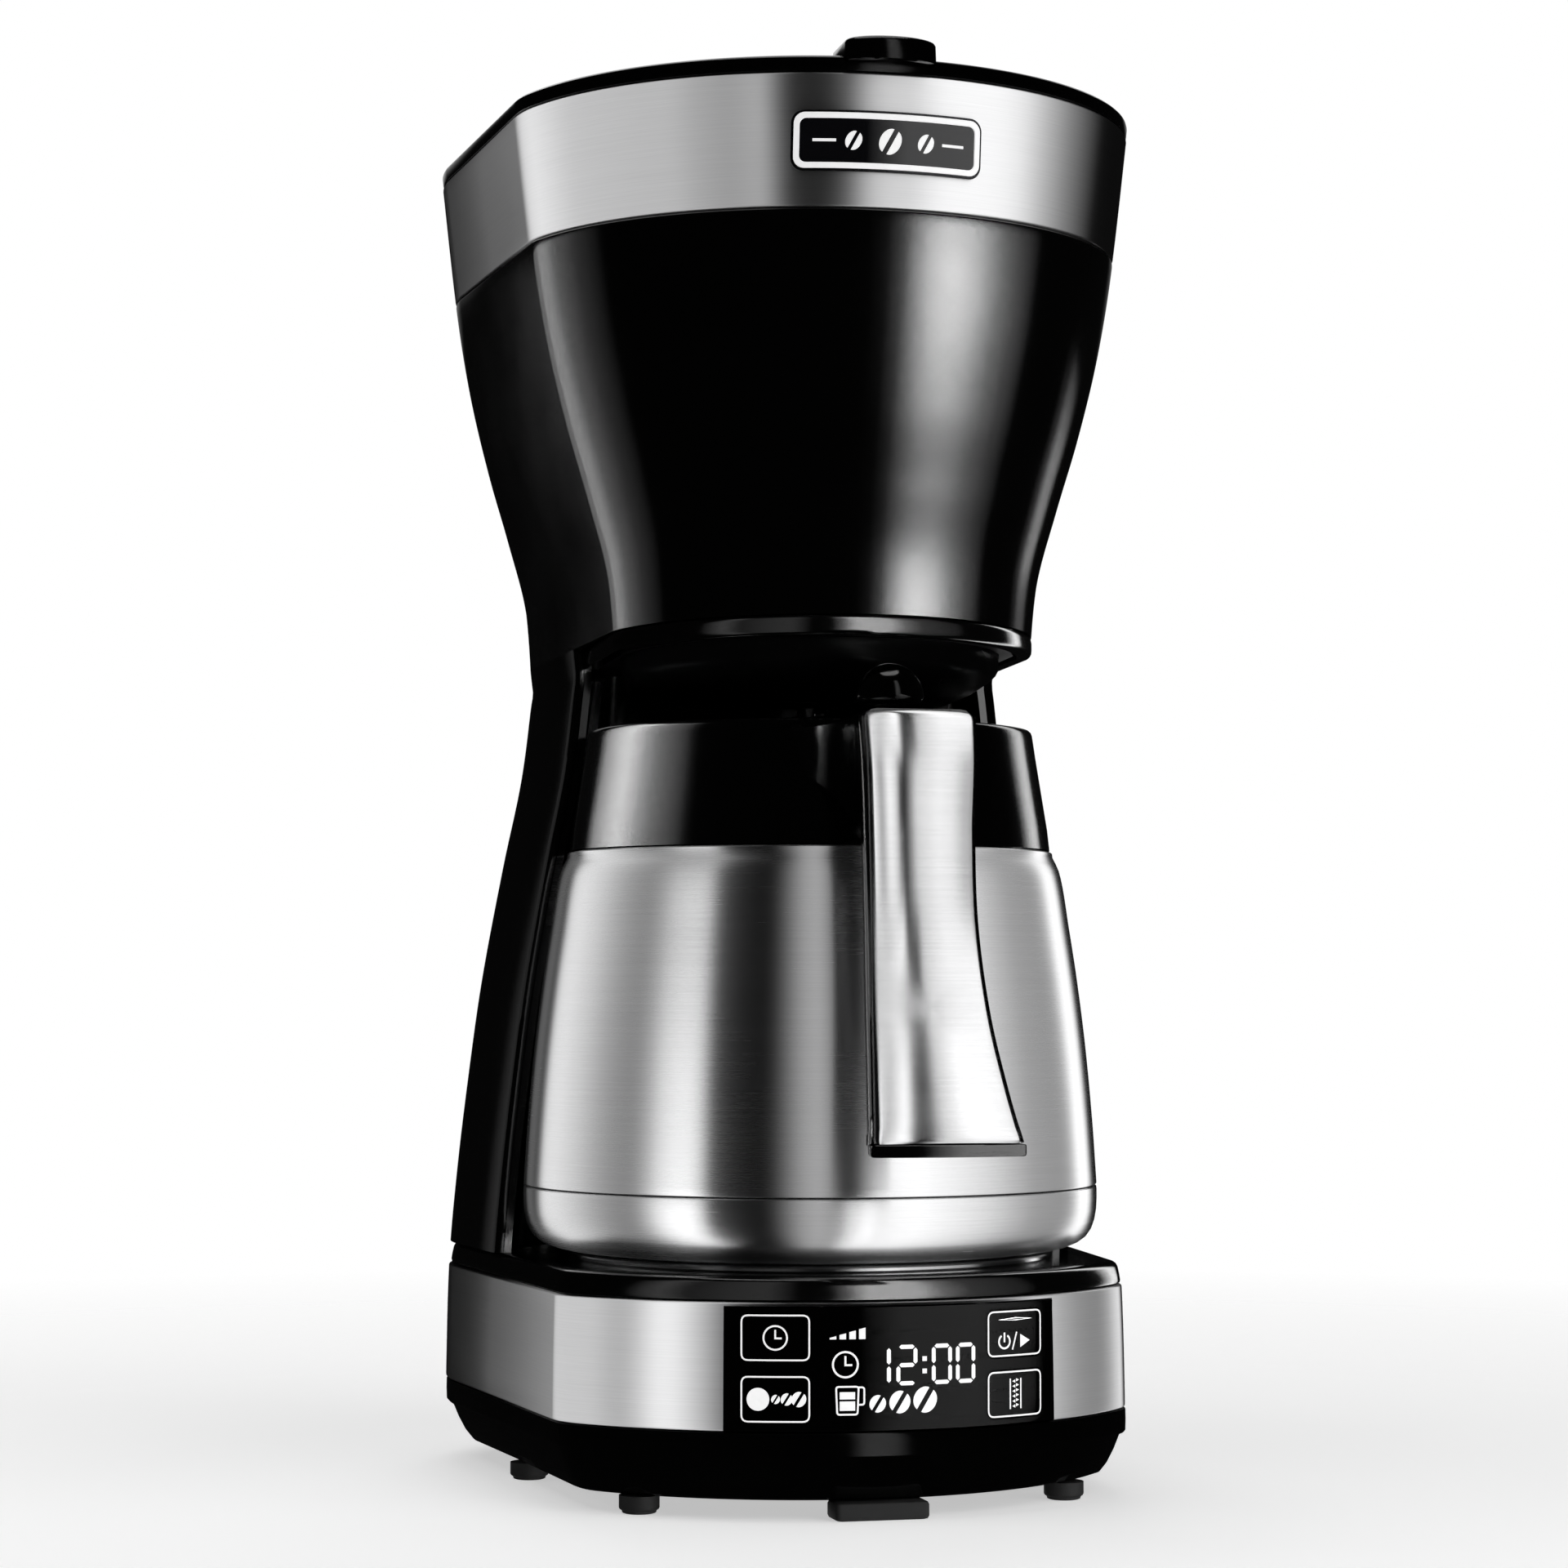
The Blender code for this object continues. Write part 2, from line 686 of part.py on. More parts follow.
def make_head_floor():
    """The plate that carries the funnel between the head's walls."""
    rings = []
    for z in (227, 229):
        outline = front_arc(WAIST_Z, 4.2) + bay_outline(HEAD_Z, 4.4)
        rings.append(at_height(outline, z, HEAD_TILT))
    floor = part("head_floor", loft(rings), BLACK_PLASTIC, MACHINE)
    cut(floor, rod((0, 0, 215), (0, 0, 245), 52.7, ROUND_STEPS), "floor_opening")


def make_filter_holder():
    outer = ((58, 358.4), (58, 356.3), (55.2, 356.3), (54.2, 354), (52, 300), (49.4, 240), (49.4, 231.5))
    inner = ((47.4, 231.5), (47.4, 240), (50, 300), (52.5, 358.4))
    part("filter_holder", turned(outer + inner), BLACK_SATIN, MACHINE)


def make_filter_basket():
    outer = ((51.8, 349), (51.8, 346.5), (49, 345), (45.5, 262), (22, 236), (6, 232.5))
    inner = ((3, 232.5), (3, 236), (22, 238.4), (43.6, 263), (47.1, 349))
    part("filter_basket", turned(outer + inner), BLACK_PLASTIC, MACHINE)


def make_permanent_filter():
    outer = ((48.4, 353.6), (48.4, 350), (46.4, 349.4), (42.8, 268), (24, 246))
    inner = ((23.6, 247), (41.8, 268.4), (45, 353.6))
    part("permanent_filter", cup(outer, inner), BROWN_MESH, MACHINE)


def make_filter_handle():
    path = [(-41.5 * math.cos(t), 0, 344 + 10 * math.sin(t)) for t in spread(0, math.pi, 12)]
    part("filter_handle", pipe(path, 1.5), BLACK_PLASTIC, MACHINE)


def make_shower_head():
    profile = ((24, 357.8), (26, 359), (26, 362), (22, 364.4), (5, 364.4))
    part("shower_head", turned(profile, 28, ring_shaped=False), BLACK_SATIN, MACHINE)


def make_riser():
    path = bend(((*RISER_XY, 36), (*RISER_XY, 361.5), (20, 18, 361.5)), 8)
    part("riser_tube", pipe(path, 2.6, wall=1), CLEAR_PLASTIC, MACHINE)


def make_top_frame():
    """The inner deck under the lid, open over the filter and over the tank."""
    frame = part("top_frame", slab(full_outline(354, 2.0 + GAP), 354, 356), BLACK_SATIN, MACHINE)
    cut(frame, rod((0, 0, 345), (0, 0, 368), 56, ROUND_STEPS), "frame_filter_opening")
    cut(frame, slab(tank_outline(WAIST_Z, -0.6), 345, 368), "frame_tank_opening")
    cut(frame, rod((*RISER_XY, 345), (*RISER_XY, 368), 3.4), "frame_riser_hole")


def make_rear_cover():
    """The fixed strip behind the lid, with cheeks that hold the hinge pin."""
    rings = [at_height(full_outline(z, 0.2), z) for z in (STEEL_TOP_Z + GAP, LID_TOP_Z - 0.8)]
    rings.append(at_height(full_outline(LID_TOP_Z, 1.2), LID_TOP_Z))
    cover = part("rear_top_cover", loft(rings), BLACK_GLOSS, MACHINE)
    cut(cover, block((-120, -150, 360), (120, LID_AXIS_Y - 1.8, 385)), "cover_front_cut")
    cut(cover, block((-42.4, 50, 360), (42.4, LID_AXIS_Y + 2.8, 385)), "cover_hinge_notch")
    cut(cover, rod((-48.3, LID_AXIS_Y, LID_AXIS_Z), (48.3, LID_AXIS_Y, LID_AXIS_Z), 1.3), "cover_pin_hole")


def make_lid():
    body = body_empty("top_lid_body", (0, LID_AXIS_Y, LID_AXIS_Z))
    rings = [at_height(full_outline(z, 0.2), z) for z in (STEEL_TOP_Z + GAP, LID_TOP_Z - 0.9)]
    rings.append(at_height(full_outline(LID_TOP_Z, 0.9), LID_TOP_Z - 0.2))
    rings.append(at_height(full_outline(LID_TOP_Z, 2.4), LID_TOP_Z))
    lid = part("top_lid", loft(rings), BLACK_GLOSS, body)
    cut(lid, block((-120, LID_AXIS_Y, 360), (120, 150, 385)), "lid_rear_cut")
    cut(lid, block((-121, LID_AXIS_Y - 3.2, 361), (-42, 151, 386)), "lid_left_cheek_cut")
    cut(lid, block((42, LID_AXIS_Y - 3.2, 361), (121, 151, 386)), "lid_right_cheek_cut")
    barrel = rod((-41.9, LID_AXIS_Y, LID_AXIS_Z), (41.9, LID_AXIS_Y, LID_AXIS_Z), 2.05)
    join(lid, barrel, "lid_hinge_barrel")
    join(lid, lid_tab(), "lid_finger_tab")
    cut(lid, rod((-60, LID_AXIS_Y, LID_AXIS_Z), (60, LID_AXIS_Y, LID_AXIS_Z), 1.3), "lid_pin_bore")


def lid_tab():
    """The finger lift at the front edge: round in front, running back into the lid."""
    rings = []
    for z, inset in ((STEEL_TOP_Z + GAP + 0.1, 0.2), (TAB_TOP_Z - 1.6, 0), (TAB_TOP_Z, 1.6)):
        half = 12.2 - inset
        turns = [math.pi * (1 - i / 8) for i in range(9)]
        nose = [(half * math.cos(t), inset - 86 - 6 * math.sin(t), z) for t in turns]
        rings.append([(-half, -70, z)] + nose + [(half, -70, z)])
    return loft(rings)


def make_hinge_pin():
    start, end = (-48, LID_AXIS_Y, LID_AXIS_Z), (48, LID_AXIS_Y, LID_AXIS_Z)
    part("lid_hinge_pin", rod(start, end, 1.0), STEEL, MACHINE)


# ---------------------------------------------------------------- drip stop

def make_drip_stop():
    body = body_empty("drip_stop_body", (0, 0, FUNNEL_Z))
    profile = ((2.5, 208.2), (3.5, 208.8), (3.5, 213.4), (9, 213.6), (9, 215.2), (2.2, 215.4), (2.2, 222))
    part("drip_stop_valve", turned(profile, SMALL_STEPS, ring_shaped=False), BLACK_SATIN, body)
    part("drip_stop_spring", pipe(coil(4.6, 216, 231.6, 4), 0.45, 6), STEEL, MACHINE)


def coil(radius, low, high, turns, steps=10):
    """Points up a spring about the Z axis."""
    path = []
    for i in range(turns * steps + 1):
        t = 2 * math.pi * i / steps
        path.append((radius * math.cos(t), radius * math.sin(t), low + (high - low) * i / (turns * steps)))
    return path


# ---------------------------------------------------------------- water heating

def heater_point(degrees):
    turn = math.radians(degrees)
    return Vector((HEATER_R * math.sin(turn), HEATER_MIDDLE_Y - HEATER_R * math.cos(turn), HEATER_Z))


def make_heater():
    arc = [heater_point(degrees) for degrees in spread(-HEATER_REACH, HEATER_REACH, 16)]
    part("flow_heater", pipe(arc, 7, 10, wall=3.6), ALUMINIUM, MACHINE)
    cap = ((8, 17), (9, 18), (9, 24.6))
    part("thermostat", turned(cap, SMALL_STEPS, (0, -40), False), BRASS, MACHINE)


def make_hoses():
    end = heater_point(HEATER_REACH)
    outlet = bend((
        (end.x + 2, end.y + 7, HEATER_Z),
        (RISER_XY[0], 62, HEATER_Z),
        (*RISER_XY, 27),
        (*RISER_XY, 35),
    ), 4)
    part("outlet_hose", pipe(outlet, 4.4, wall=1.6), SILICONE, MACHINE)
    inlet = bend((
        (-end.x - 1, end.y + 7, HEATER_Z),
        (-18, 66, 32),
        (*OUTLET_XY, 30),
        (*OUTLET_XY, 44),
    ), 5)
    part("inlet_hose", pipe(inlet, 4.4, wall=1.6), SILICONE, MACHINE)
    valve = ((5.5, 45), (5.5, 56), (2.6, 57), (2.6, 72), (1.6, 72), (1.6, 45))
    part("check_valve", turned(valve, SMALL_STEPS, OUTLET_XY), BLACK_PLASTIC, MACHINE)


def make_cord_gland():
    path = ((GLAND_X, 119.5, GLAND_Z), (GLAND_X, 106, GLAND_Z))
    part("cord_gland", pipe(path, 5, SMALL_STEPS, wall=2), RUBBER, MACHINE)


# ---------------------------------------------------------------- carafe

def make_carafe_shell():
    outer = list(BODY_PROFILE)
    inner = [(r - 1.2, z) for r, z in reversed(BODY_PROFILE)]
    part("carafe_shell", turned(outer + inner, CARAFE_STEPS), STEEL, CARAFE)


def make_carafe_base():
    outer = ((78.75, SEAM_Z - GAP), (78.6, 73), (77.6, 68.4), (75, 65.4), (70, 63.4), (62, CARAFE_Z))
    inner = ((60, 64.2), (69, 65.4), (74, 68), (76.4, 73), (77, SEAM_Z - GAP))
    part("carafe_base_cup", cup(outer, inner, CARAFE_STEPS), STEEL, CARAFE)


def make_carafe_liner():
    """The steel flask inside, open at the top."""
    outer = ((52.9, 199), (55, 190), (60, 172), (66.5, 150), (70, 118), (71.6, 90), (69, 74), (55, 69))
    body = ((54.8, 70.4), (67.8, 75), (70.4, 90), (68.8, 118), (65.3, 150))
    inner = body + ((58.8, 172), (53.8, 189.6), (51.7, 199))
    part("carafe_liner", cup(outer, inner), STEEL, CARAFE)


def make_collar():
    rim = ((RIM_R - 1.2, RIM_Z), (RIM_R, RIM_Z - 1))
    outer = rim + ((62.4, 197), (64, 187), (65.6, 177), (66.2, COLLAR_Z + GAP))
    inner = ((61.5, COLLAR_Z + GAP), (59.8, 180), (57.4, 192), (56.4, RIM_Z))
    part("carafe_collar", turned(outer + inner, CARAFE_STEPS), BLACK_GLOSS, CARAFE)


def handle_stations():
    """(middle, outward direction, half-width) at each station of the handle."""
    stations = []
    for i, (y, z, half) in enumerate(HANDLE_LINE):
        before, after = HANDLE_LINE[max(i - 1, 0)], HANDLE_LINE[min(i + 1, len(HANDLE_LINE) - 1)]
        along = Vector((0, after[0] - before[0], after[1] - before[1])).normalized()
        if i == len(HANDLE_LINE) - 1:
            along = Vector((0, 0, -1))
        stations.append((Vector((0, y, z)), Vector((0, along.z, -along.y)), half))
    return stations


def cover_rings():
    """The steel cover: crowned outside, flat behind."""
    rings = []
    for middle, out, half in handle_stations():
        crown = [(j / 4 - 1, 1.2 - 2.6 * (j / 4 - 1) ** 2) for j in range(9)]
        outline = crown + [(1, -3.4), (-1, -3.4)]
        rings.append([middle + Vector((half * u, 0, 0)) + out * v for u, v in outline])
    return rings


def make_handle():
    part("handle_cover", loft(cover_rings()), STEEL, CARAFE)
    frame = part("handle_frame", loft(straight_rings()), BLACK_GLOSS, CARAFE)
    join(frame, handle_bridge(), "handle_bridge")
    cut(frame, turned(COLLAR_FIT, CARAFE_STEPS), "bridge_collar_fit")
    part("handle_end_cap", end_cap(), BLACK_GLOSS, CARAFE)


def straight_rings():
    """The black frame behind the cover: the same line, a plain rounded bar."""
    outline = ((-1, -3.7), (1, -3.7), (1, -6), (0.8, -13), (0.4, -15), (-0.4, -15), (-0.8, -13), (-1, -6))
    return [
        [middle + Vector(((half + 0.9) * u, 0, 0)) + out * v for u, v in outline]
        for middle, out, half in handle_stations()
    ]


def handle_bridge():
    """From the collar out to the top of the handle, deepest at the handle."""
    rings = []
    for y, half, low, high in BRIDGE_LINE:
        side = ((half - 2, high), (half, high - 2), (half - 0.6, low + 8))
        right = side + ((half - 2, low + 3), (half - 5, low))
        rings.append([(x, y, z) for x, z in right] + [(-x, y, z) for x, z in right[::-1]])
    return loft(rings)


def end_cap():
    """The flat plate that closes the handle's lower end."""
    y, z, half = HANDLE_LINE[-1]
    front = [(half * 1.04 * (j / 4 - 1), y - 1.6 + 2.4 * (j / 4 - 1) ** 2) for j in range(9)]
    rear = [(half * 0.9, y + 13), (half * 0.4, y + 15.4), (-half * 0.4, y + 15.4), (-half * 0.9, y + 13)]
    return slab(front + rear, z - 3.2, z - GAP)


def make_carafe_lid():
    outer = ((55.4, 203.4), (55.4, 199.6), (50.6, 199.4), (50, 190), (46, 189))
    inner = ((44, 191), (46, 200), (9, 201), (9, 199), (7, 199), (7, 204.6), (30, 204.8), (50, 204.4))
    lid = part("carafe_lid", turned(outer + inner), BLACK_SATIN, CARAFE_LID)
    for side in (-1, 1):
        ear = block((side * 9.6 - 1.6, -38, 202), (side * 9.6 + 1.6, -30, 208.6))
        join(lid, ear, "lever_ear_" + SIDE_NAMES[side])
    join(lid, valve_housing(), "lid_valve_housing")
    cut(lid, lever_bore(), "lever_pin_hole")
    ring = ((51.4, 197.6), (51.4, 193.6), (50.5, 193.6), (50.5, 197.6))
    part("lid_seal", turned(ring), SILICONE, CARAFE_LID)


def valve_housing():
    """The raised box on the lid behind the lever, in front of the drip stop's pin."""
    rings = []
    for z, inset in ((202, 0), (208.8, 2), (209.8, 3)):
        outline = rounded_rectangle(19.5 - inset, 11.2 - inset / 2, 4, 2)
        rings.append([(x, y - 16.3, z) for x, y in outline])
    return loft(rings)


def lever_bore():
    return rod((-20, LEVER_AXIS_Y, LEVER_AXIS_Z), (20, LEVER_AXIS_Y, LEVER_AXIS_Z), 1.25, 12)


def make_lever():
    rings = []
    for y, low, high in ((-28, 205.4, 208.6), (-36, 205.2, 209.4), (-50, 206.6, 209.4), (-80, 207.2, 210.2)):
        rings.append([(-6.5, y, low), (6.5, y, low), (6.5, y, high), (-6.5, y, high)])
    lever = part("pour_lever", loft(rings), BLACK_GLOSS, LEVER)
    knob = ((7.4, 206.2), (8.8, 207.4), (8.6, 209.8), (7.8, 212.4), (6.2, 214.9), (4, 216.4), (1.5, 216.9))
    join(lever, turned(knob, 24, (0, -84.5), False), "lever_knob")
    cut(lever, lever_bore(), "lever_bore")
    pin = rod((-11, LEVER_AXIS_Y, LEVER_AXIS_Z), (11, LEVER_AXIS_Y, LEVER_AXIS_Z), 0.95, 12)
    part("lever_pin", pin, STEEL, CARAFE_LID)


# ---------------------------------------------------------------- build

clear_scene()
PARTS = new_collection("coffee_maker")
CUTTERS = new_collection("cutters")
CUTTERS.hide_render = True

BLACK_GLOSS = material("black_gloss", (0.004, 0.004, 0.004), 0.06)
BLACK_SATIN = material("black_satin", (0.01, 0.01, 0.01), 0.3)
BLACK_PLASTIC = material("black_plastic", (0.015, 0.015, 0.015), 0.5)
STEEL = material("brushed_steel", (0.6, 0.6, 0.6), 0.28, 1.0)
DARK_METAL = material("dark_metal", (0.1, 0.1, 0.1), 0.3, 1.0)
ALUMINIUM = material("cast_aluminium", (0.55, 0.55, 0.57), 0.45, 1.0)
BRASS = material("brass", (0.6, 0.42, 0.15), 0.35, 1.0)
RUBBER = material("black_rubber", (0.012, 0.012, 0.012), 0.7)
SILICONE = material("silicone", (0.6, 0.6, 0.58), 0.5)
CLEAR_PLASTIC = material("clear_plastic", (0.55, 0.56, 0.56), 0.15, transmission=0.7)
DARK_GLASS = material("dark_glass", (0.01, 0.01, 0.012), 0.08)
BROWN_MESH = material("filter_mesh", (0.25, 0.18, 0.08), 0.5)
BOARD_GREEN = material("board_green", (0.02, 0.15, 0.05), 0.5)
LED_WHITE = material("led_white", (0.9, 0.9, 0.9), 0.3)

MACHINE = new_empty("coffee_maker_origin", None, (0, CENTRE_SHIFT_Y, -TABLE_Z))
CARAFE = body_empty("carafe_body", (0, 0, 0))
CARAFE_LID = body_empty("carafe_lid_body", (0, 0, RIM_Z))
LEVER = body_empty("pour_lever_body", (0, LEVER_AXIS_Y, LEVER_AXIS_Z))

make_feet()
make_base_floor()
make_base_skirt()
make_base_band()
make_base_frame()
make_deck()
make_rest_plate()
make_panel()
make_keys()
make_electronics()
make_column_shell()
make_bay_wall()
make_level_windows()
make_tank()
make_upper_shell()
make_upper_band()
make_badge()
make_flange_ring()
make_funnel()
make_head_floor()
make_filter_holder()
make_filter_basket()
make_permanent_filter()
make_filter_handle()
make_shower_head()
make_riser()
make_top_frame()
make_rear_cover()
make_lid()
make_hinge_pin()
make_drip_stop()
make_heater()
make_hoses()
make_cord_gland()
make_carafe_shell()
make_carafe_base()
make_carafe_liner()
make_collar()
make_handle()
make_carafe_lid()
make_lever()
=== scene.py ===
"""Looks of the drip coffee maker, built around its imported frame.

Shapes are worked out in millimetres in the machine's own space, where the carafe's
axis is the Z axis and the front looks along -Y. DATUM takes them to the frame.
"""

import math

import bmesh
import bpy
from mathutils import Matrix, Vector


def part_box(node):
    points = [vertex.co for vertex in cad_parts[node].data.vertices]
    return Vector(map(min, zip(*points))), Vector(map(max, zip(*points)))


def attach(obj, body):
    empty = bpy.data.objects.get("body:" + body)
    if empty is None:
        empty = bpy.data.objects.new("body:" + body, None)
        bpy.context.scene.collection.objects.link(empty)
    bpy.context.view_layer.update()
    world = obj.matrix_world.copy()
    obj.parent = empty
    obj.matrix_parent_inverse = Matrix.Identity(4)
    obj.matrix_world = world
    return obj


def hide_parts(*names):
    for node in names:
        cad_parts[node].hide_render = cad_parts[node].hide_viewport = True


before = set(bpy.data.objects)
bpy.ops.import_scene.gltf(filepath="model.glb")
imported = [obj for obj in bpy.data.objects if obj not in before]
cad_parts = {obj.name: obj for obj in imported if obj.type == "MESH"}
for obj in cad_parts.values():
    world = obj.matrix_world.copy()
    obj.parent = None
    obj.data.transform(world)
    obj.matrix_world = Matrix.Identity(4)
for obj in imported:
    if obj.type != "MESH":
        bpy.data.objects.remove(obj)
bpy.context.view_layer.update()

MM = 0.001
SKIRT_Z = 3.0
REST_LOW, REST_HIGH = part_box("carafe_rest_plate")
DATUM = Vector((0, (REST_LOW.y + REST_HIGH.y) / 2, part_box("base_skirt")[0].z - SKIRT_Z * MM))


def low(node):
    return (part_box(node)[0] - DATUM) / MM


def high(node):
    return (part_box(node)[1] - DATUM) / MM


# Heights that the frame gives
BAND_Z = low("base_band").z
BAND_TOP_Z = high("base_band").z
DECK_Z = high("platform_deck").z
REST_Z = high("carafe_rest_plate").z
CARAFE_Z = low("carafe_base_cup").z
SEAM_Z = low("carafe_shell").z
COLLAR_Z = high("carafe_shell").z
RIM_Z = high("carafe_collar").z
FUNNEL_Z = low("brew_funnel").z
HEAD_Z = 231.6
RING_Z = 226.2
STEEL_Z = low("upper_band").z
STEEL_TOP_Z = high("upper_band").z
LID_TOP_Z = high("rear_top_cover").z
TAB_TOP_Z = high("top_lid").z
PANEL_TOP_Z = high("control_panel").z

# The body's plan, which follows the same rule as the frame
WAIST_Z = 222.0
WAIST = (64.2, 57.8, -18, -62, 113)
UPPER_GROWTH = (28, 28.7, -3, -25, 7)
LOWER_GROWTH = (25, 20, -24, -19.5, 7)
SIDE_Y = 70.0
WING_Y = 27.0
WAIST_FRONT = 62.0
UPPER_SWELL = ((222, 0), (245, 0.085), (265, 0.275), (285, 0.485), (307, 0.675), (331, 0.82), (374, 1))
LOWER_SWELL = ((15, 1), (54, 0.965), (80, 0.88), (108, 0.75), (136, 0.595), (169, 0.35), (195, 0.135),
               (222, 0))
HEAD_TILT = 0.035
SEAM = 0.35

# How far each casing rounds the body's front corners
DECK_FILLET = 4
BAND_FILLET = 6
HEAD_FILLET = 2.2
RING_FILLET = 3.0
LID_FILLET = 5

BODY_PROFILE = ((171.0, 66.3), (165, 69.0), (150, 71.5), (136, 73.6), (118, 75.8), (98, 77.6), (80.3, 78.75))
HANDLE_LINE = (
    (203.2, -113.5, 14.3),
    (190, -115.6, 14.0),
    (172, -115.6, 13.5),
    (150, -117.6, 13.6),
    (128, -123.5, 14.9),
    (110, -132.0, 16.8),
    (96.5, -139.6, 18.6),
)
HANDLE_Y = [(z, y) for z, y, _ in HANDLE_LINE]
HANDLE_HALF = [(z, half) for z, _, half in HANDLE_LINE]
PANEL_TURN = 2.6
PANEL_HALF_TURN = 27.6


# ---------------------------------------------------------------- materials

def new_material(name):
    made = bpy.data.materials.new(name)
    made.use_nodes = True
    return made, made.node_tree, made.node_tree.nodes["Principled BSDF"]


def add(tree, kind, **settings):
    node = tree.nodes.new(kind)
    for key, value in settings.items():
        if key in node.inputs:
            node.inputs[key].default_value = value
        else:
            setattr(node, key, value)
    return node


def stretched_noise(tree, scale, detail=3.0, vector=None):
    """Noise with its own scale along each axis, in features per metre."""
    if vector is None:
        vector = add(tree, "ShaderNodeTexCoord").outputs["Object"]
    mapping = add(tree, "ShaderNodeMapping", Scale=scale)
    tree.links.new(vector, mapping.inputs["Vector"])
    noise = add(tree, "ShaderNodeTexNoise", Scale=1.0, Detail=detail, Roughness=0.6)
    tree.links.new(mapping.outputs["Vector"], noise.inputs["Vector"])
    return noise.outputs["Fac"]


# Noise seldom leaves this range
NOISE_LOW = 0.3
NOISE_HIGH = 0.7


def spread_over(tree, value, lowest, highest, start=NOISE_LOW, end=NOISE_HIGH):
    """Maps noise to a range."""
    node = add(tree, "ShaderNodeMapRange")
    node.inputs["From Min"].default_value = start
    node.inputs["From Max"].default_value = end
    node.inputs["To Min"].default_value = lowest
    node.inputs["To Max"].default_value = highest
    tree.links.new(value, node.inputs["Value"])
    return node.outputs["Result"]


def tinted(tree, value, dark, light):
    """Maps noise to a colour between dark and light."""
    tones = add(tree, "ShaderNodeValToRGB")
    tones.color_ramp.elements[0].position = NOISE_LOW
    tones.color_ramp.elements[0].color = (*dark, 1)
    tones.color_ramp.elements[1].position = NOISE_HIGH
    tones.color_ramp.elements[1].color = (*light, 1)
    tree.links.new(value, tones.inputs["Fac"])
    return tones.outputs["Color"]


def combined(tree, operation, first, second):
    node = add(tree, "ShaderNodeMath", operation=operation)
    tree.links.new(first, node.inputs[0])
    tree.links.new(second, node.inputs[1])
    return node.outputs[0]


def bumped(tree, shader, value, distance, strength=1.0):
    bump = add(tree, "ShaderNodeBump", Strength=strength, Distance=distance)
    tree.links.new(value, bump.inputs["Height"])
    tree.links.new(bump.outputs["Normal"], shader.inputs["Normal"])


def moulded(name, colour, roughness, grain, depth, ior=1.5):
    """A moulded plastic or rubber: a fine grain, uneven gloss and a slight change of tone."""
    made, tree, shader = new_material(name)
    fine = stretched_noise(tree, (grain, grain, grain))
    cloudy = stretched_noise(tree, (30, 30, 30), 4)
    tree.links.new(tinted(tree, cloudy, [c * 0.8 for c in colour], [c * 1.25 for c in colour]),
                   shader.inputs["Base Color"])
    tree.links.new(spread_over(tree, cloudy, roughness * 0.85, roughness * 1.2), shader.inputs["Roughness"])
    shader.inputs["IOR"].default_value = ior
    bumped(tree, shader, fine, depth)
    return made


def brushed(name, colour, roughness, turned_about_z=False):
    """Steel with a fine grain that runs level round the piece, or in rings on a flat face."""
    made, tree, shader = new_material(name)
    vector = add(tree, "ShaderNodeTexCoord").outputs["Object"]
    if turned_about_z:
        flat = add(tree, "ShaderNodeVectorMath", operation="MULTIPLY_ADD")
        flat.inputs[1].default_value = (1, 1, 0)
        flat.inputs[2].default_value = (0, -DATUM.y, 0)
        tree.links.new(vector, flat.inputs[0])
        reach = add(tree, "ShaderNodeVectorMath", operation="LENGTH")
        tree.links.new(flat.outputs["Vector"], reach.inputs[0])
        joined = add(tree, "ShaderNodeCombineXYZ")
        tree.links.new(reach.outputs["Value"], joined.inputs["Z"])
        vector = joined.outputs["Vector"]
    coarse = stretched_noise(tree, (14, 14, 3600), 3, vector)
    fine = stretched_noise(tree, (60, 60, 9000), 2, vector)
    cloudy = stretched_noise(tree, (14, 14, 20))
    halved = add(tree, "ShaderNodeMath", operation="MULTIPLY")
    halved.inputs[1].default_value = 0.5
    tree.links.new(combined(tree, "ADD", coarse, fine), halved.inputs[0])
    grain = halved.outputs[0]
    tree.links.new(tinted(tree, grain, [c * 0.94 for c in colour], [min(c * 1.06, 1) for c in colour]),
                   shader.inputs["Base Color"])
    uneven = spread_over(tree, cloudy, 0.94, 1.06)
    along_grain = spread_over(tree, grain, roughness * 0.96, roughness * 1.05)
    tree.links.new(combined(tree, "MULTIPLY", uneven, along_grain), shader.inputs["Roughness"])
    shader.inputs["Metallic"].default_value = 1.0
    shader.inputs["Anisotropic"].default_value = 0.97
    shader.inputs["Anisotropic Rotation"].default_value = 0.25
    tangent = add(tree, "ShaderNodeTangent", direction_type="RADIAL", axis="Z")
    tree.links.new(tangent.outputs["Tangent"], shader.inputs["Tangent"])
    bumped(tree, shader, grain, 0.00001, 0.05)
    return made


def metal(name, colour, roughness, grain=900, depth=0.00002):
    made, tree, shader = new_material(name)
    fine = stretched_noise(tree, (grain, grain, grain))
    tree.links.new(tinted(tree, fine, [c * 0.85 for c in colour], colour), shader.inputs["Base Color"])
    tree.links.new(spread_over(tree, fine, roughness * 0.85, roughness * 1.2), shader.inputs["Roughness"])
    shader.inputs["Metallic"].default_value = 1.0
    bumped(tree, shader, fine, depth)
    return made


def clear(name, colour, roughness, transmission):
    made, tree, shader = new_material(name)
    streaks = stretched_noise(tree, (260, 260, 60))
    tree.links.new(tinted(tree, streaks, [c * 0.85 for c in colour], colour), shader.inputs["Base Color"])
    tree.links.new(spread_over(tree, streaks, roughness * 0.7, roughness * 1.3), shader.inputs["Roughness"])
    shader.inputs["Transmission Weight"].default_value = transmission
    shader.inputs["IOR"].default_value = 1.49
    bumped(tree, shader, streaks, 0.00003)
    return made


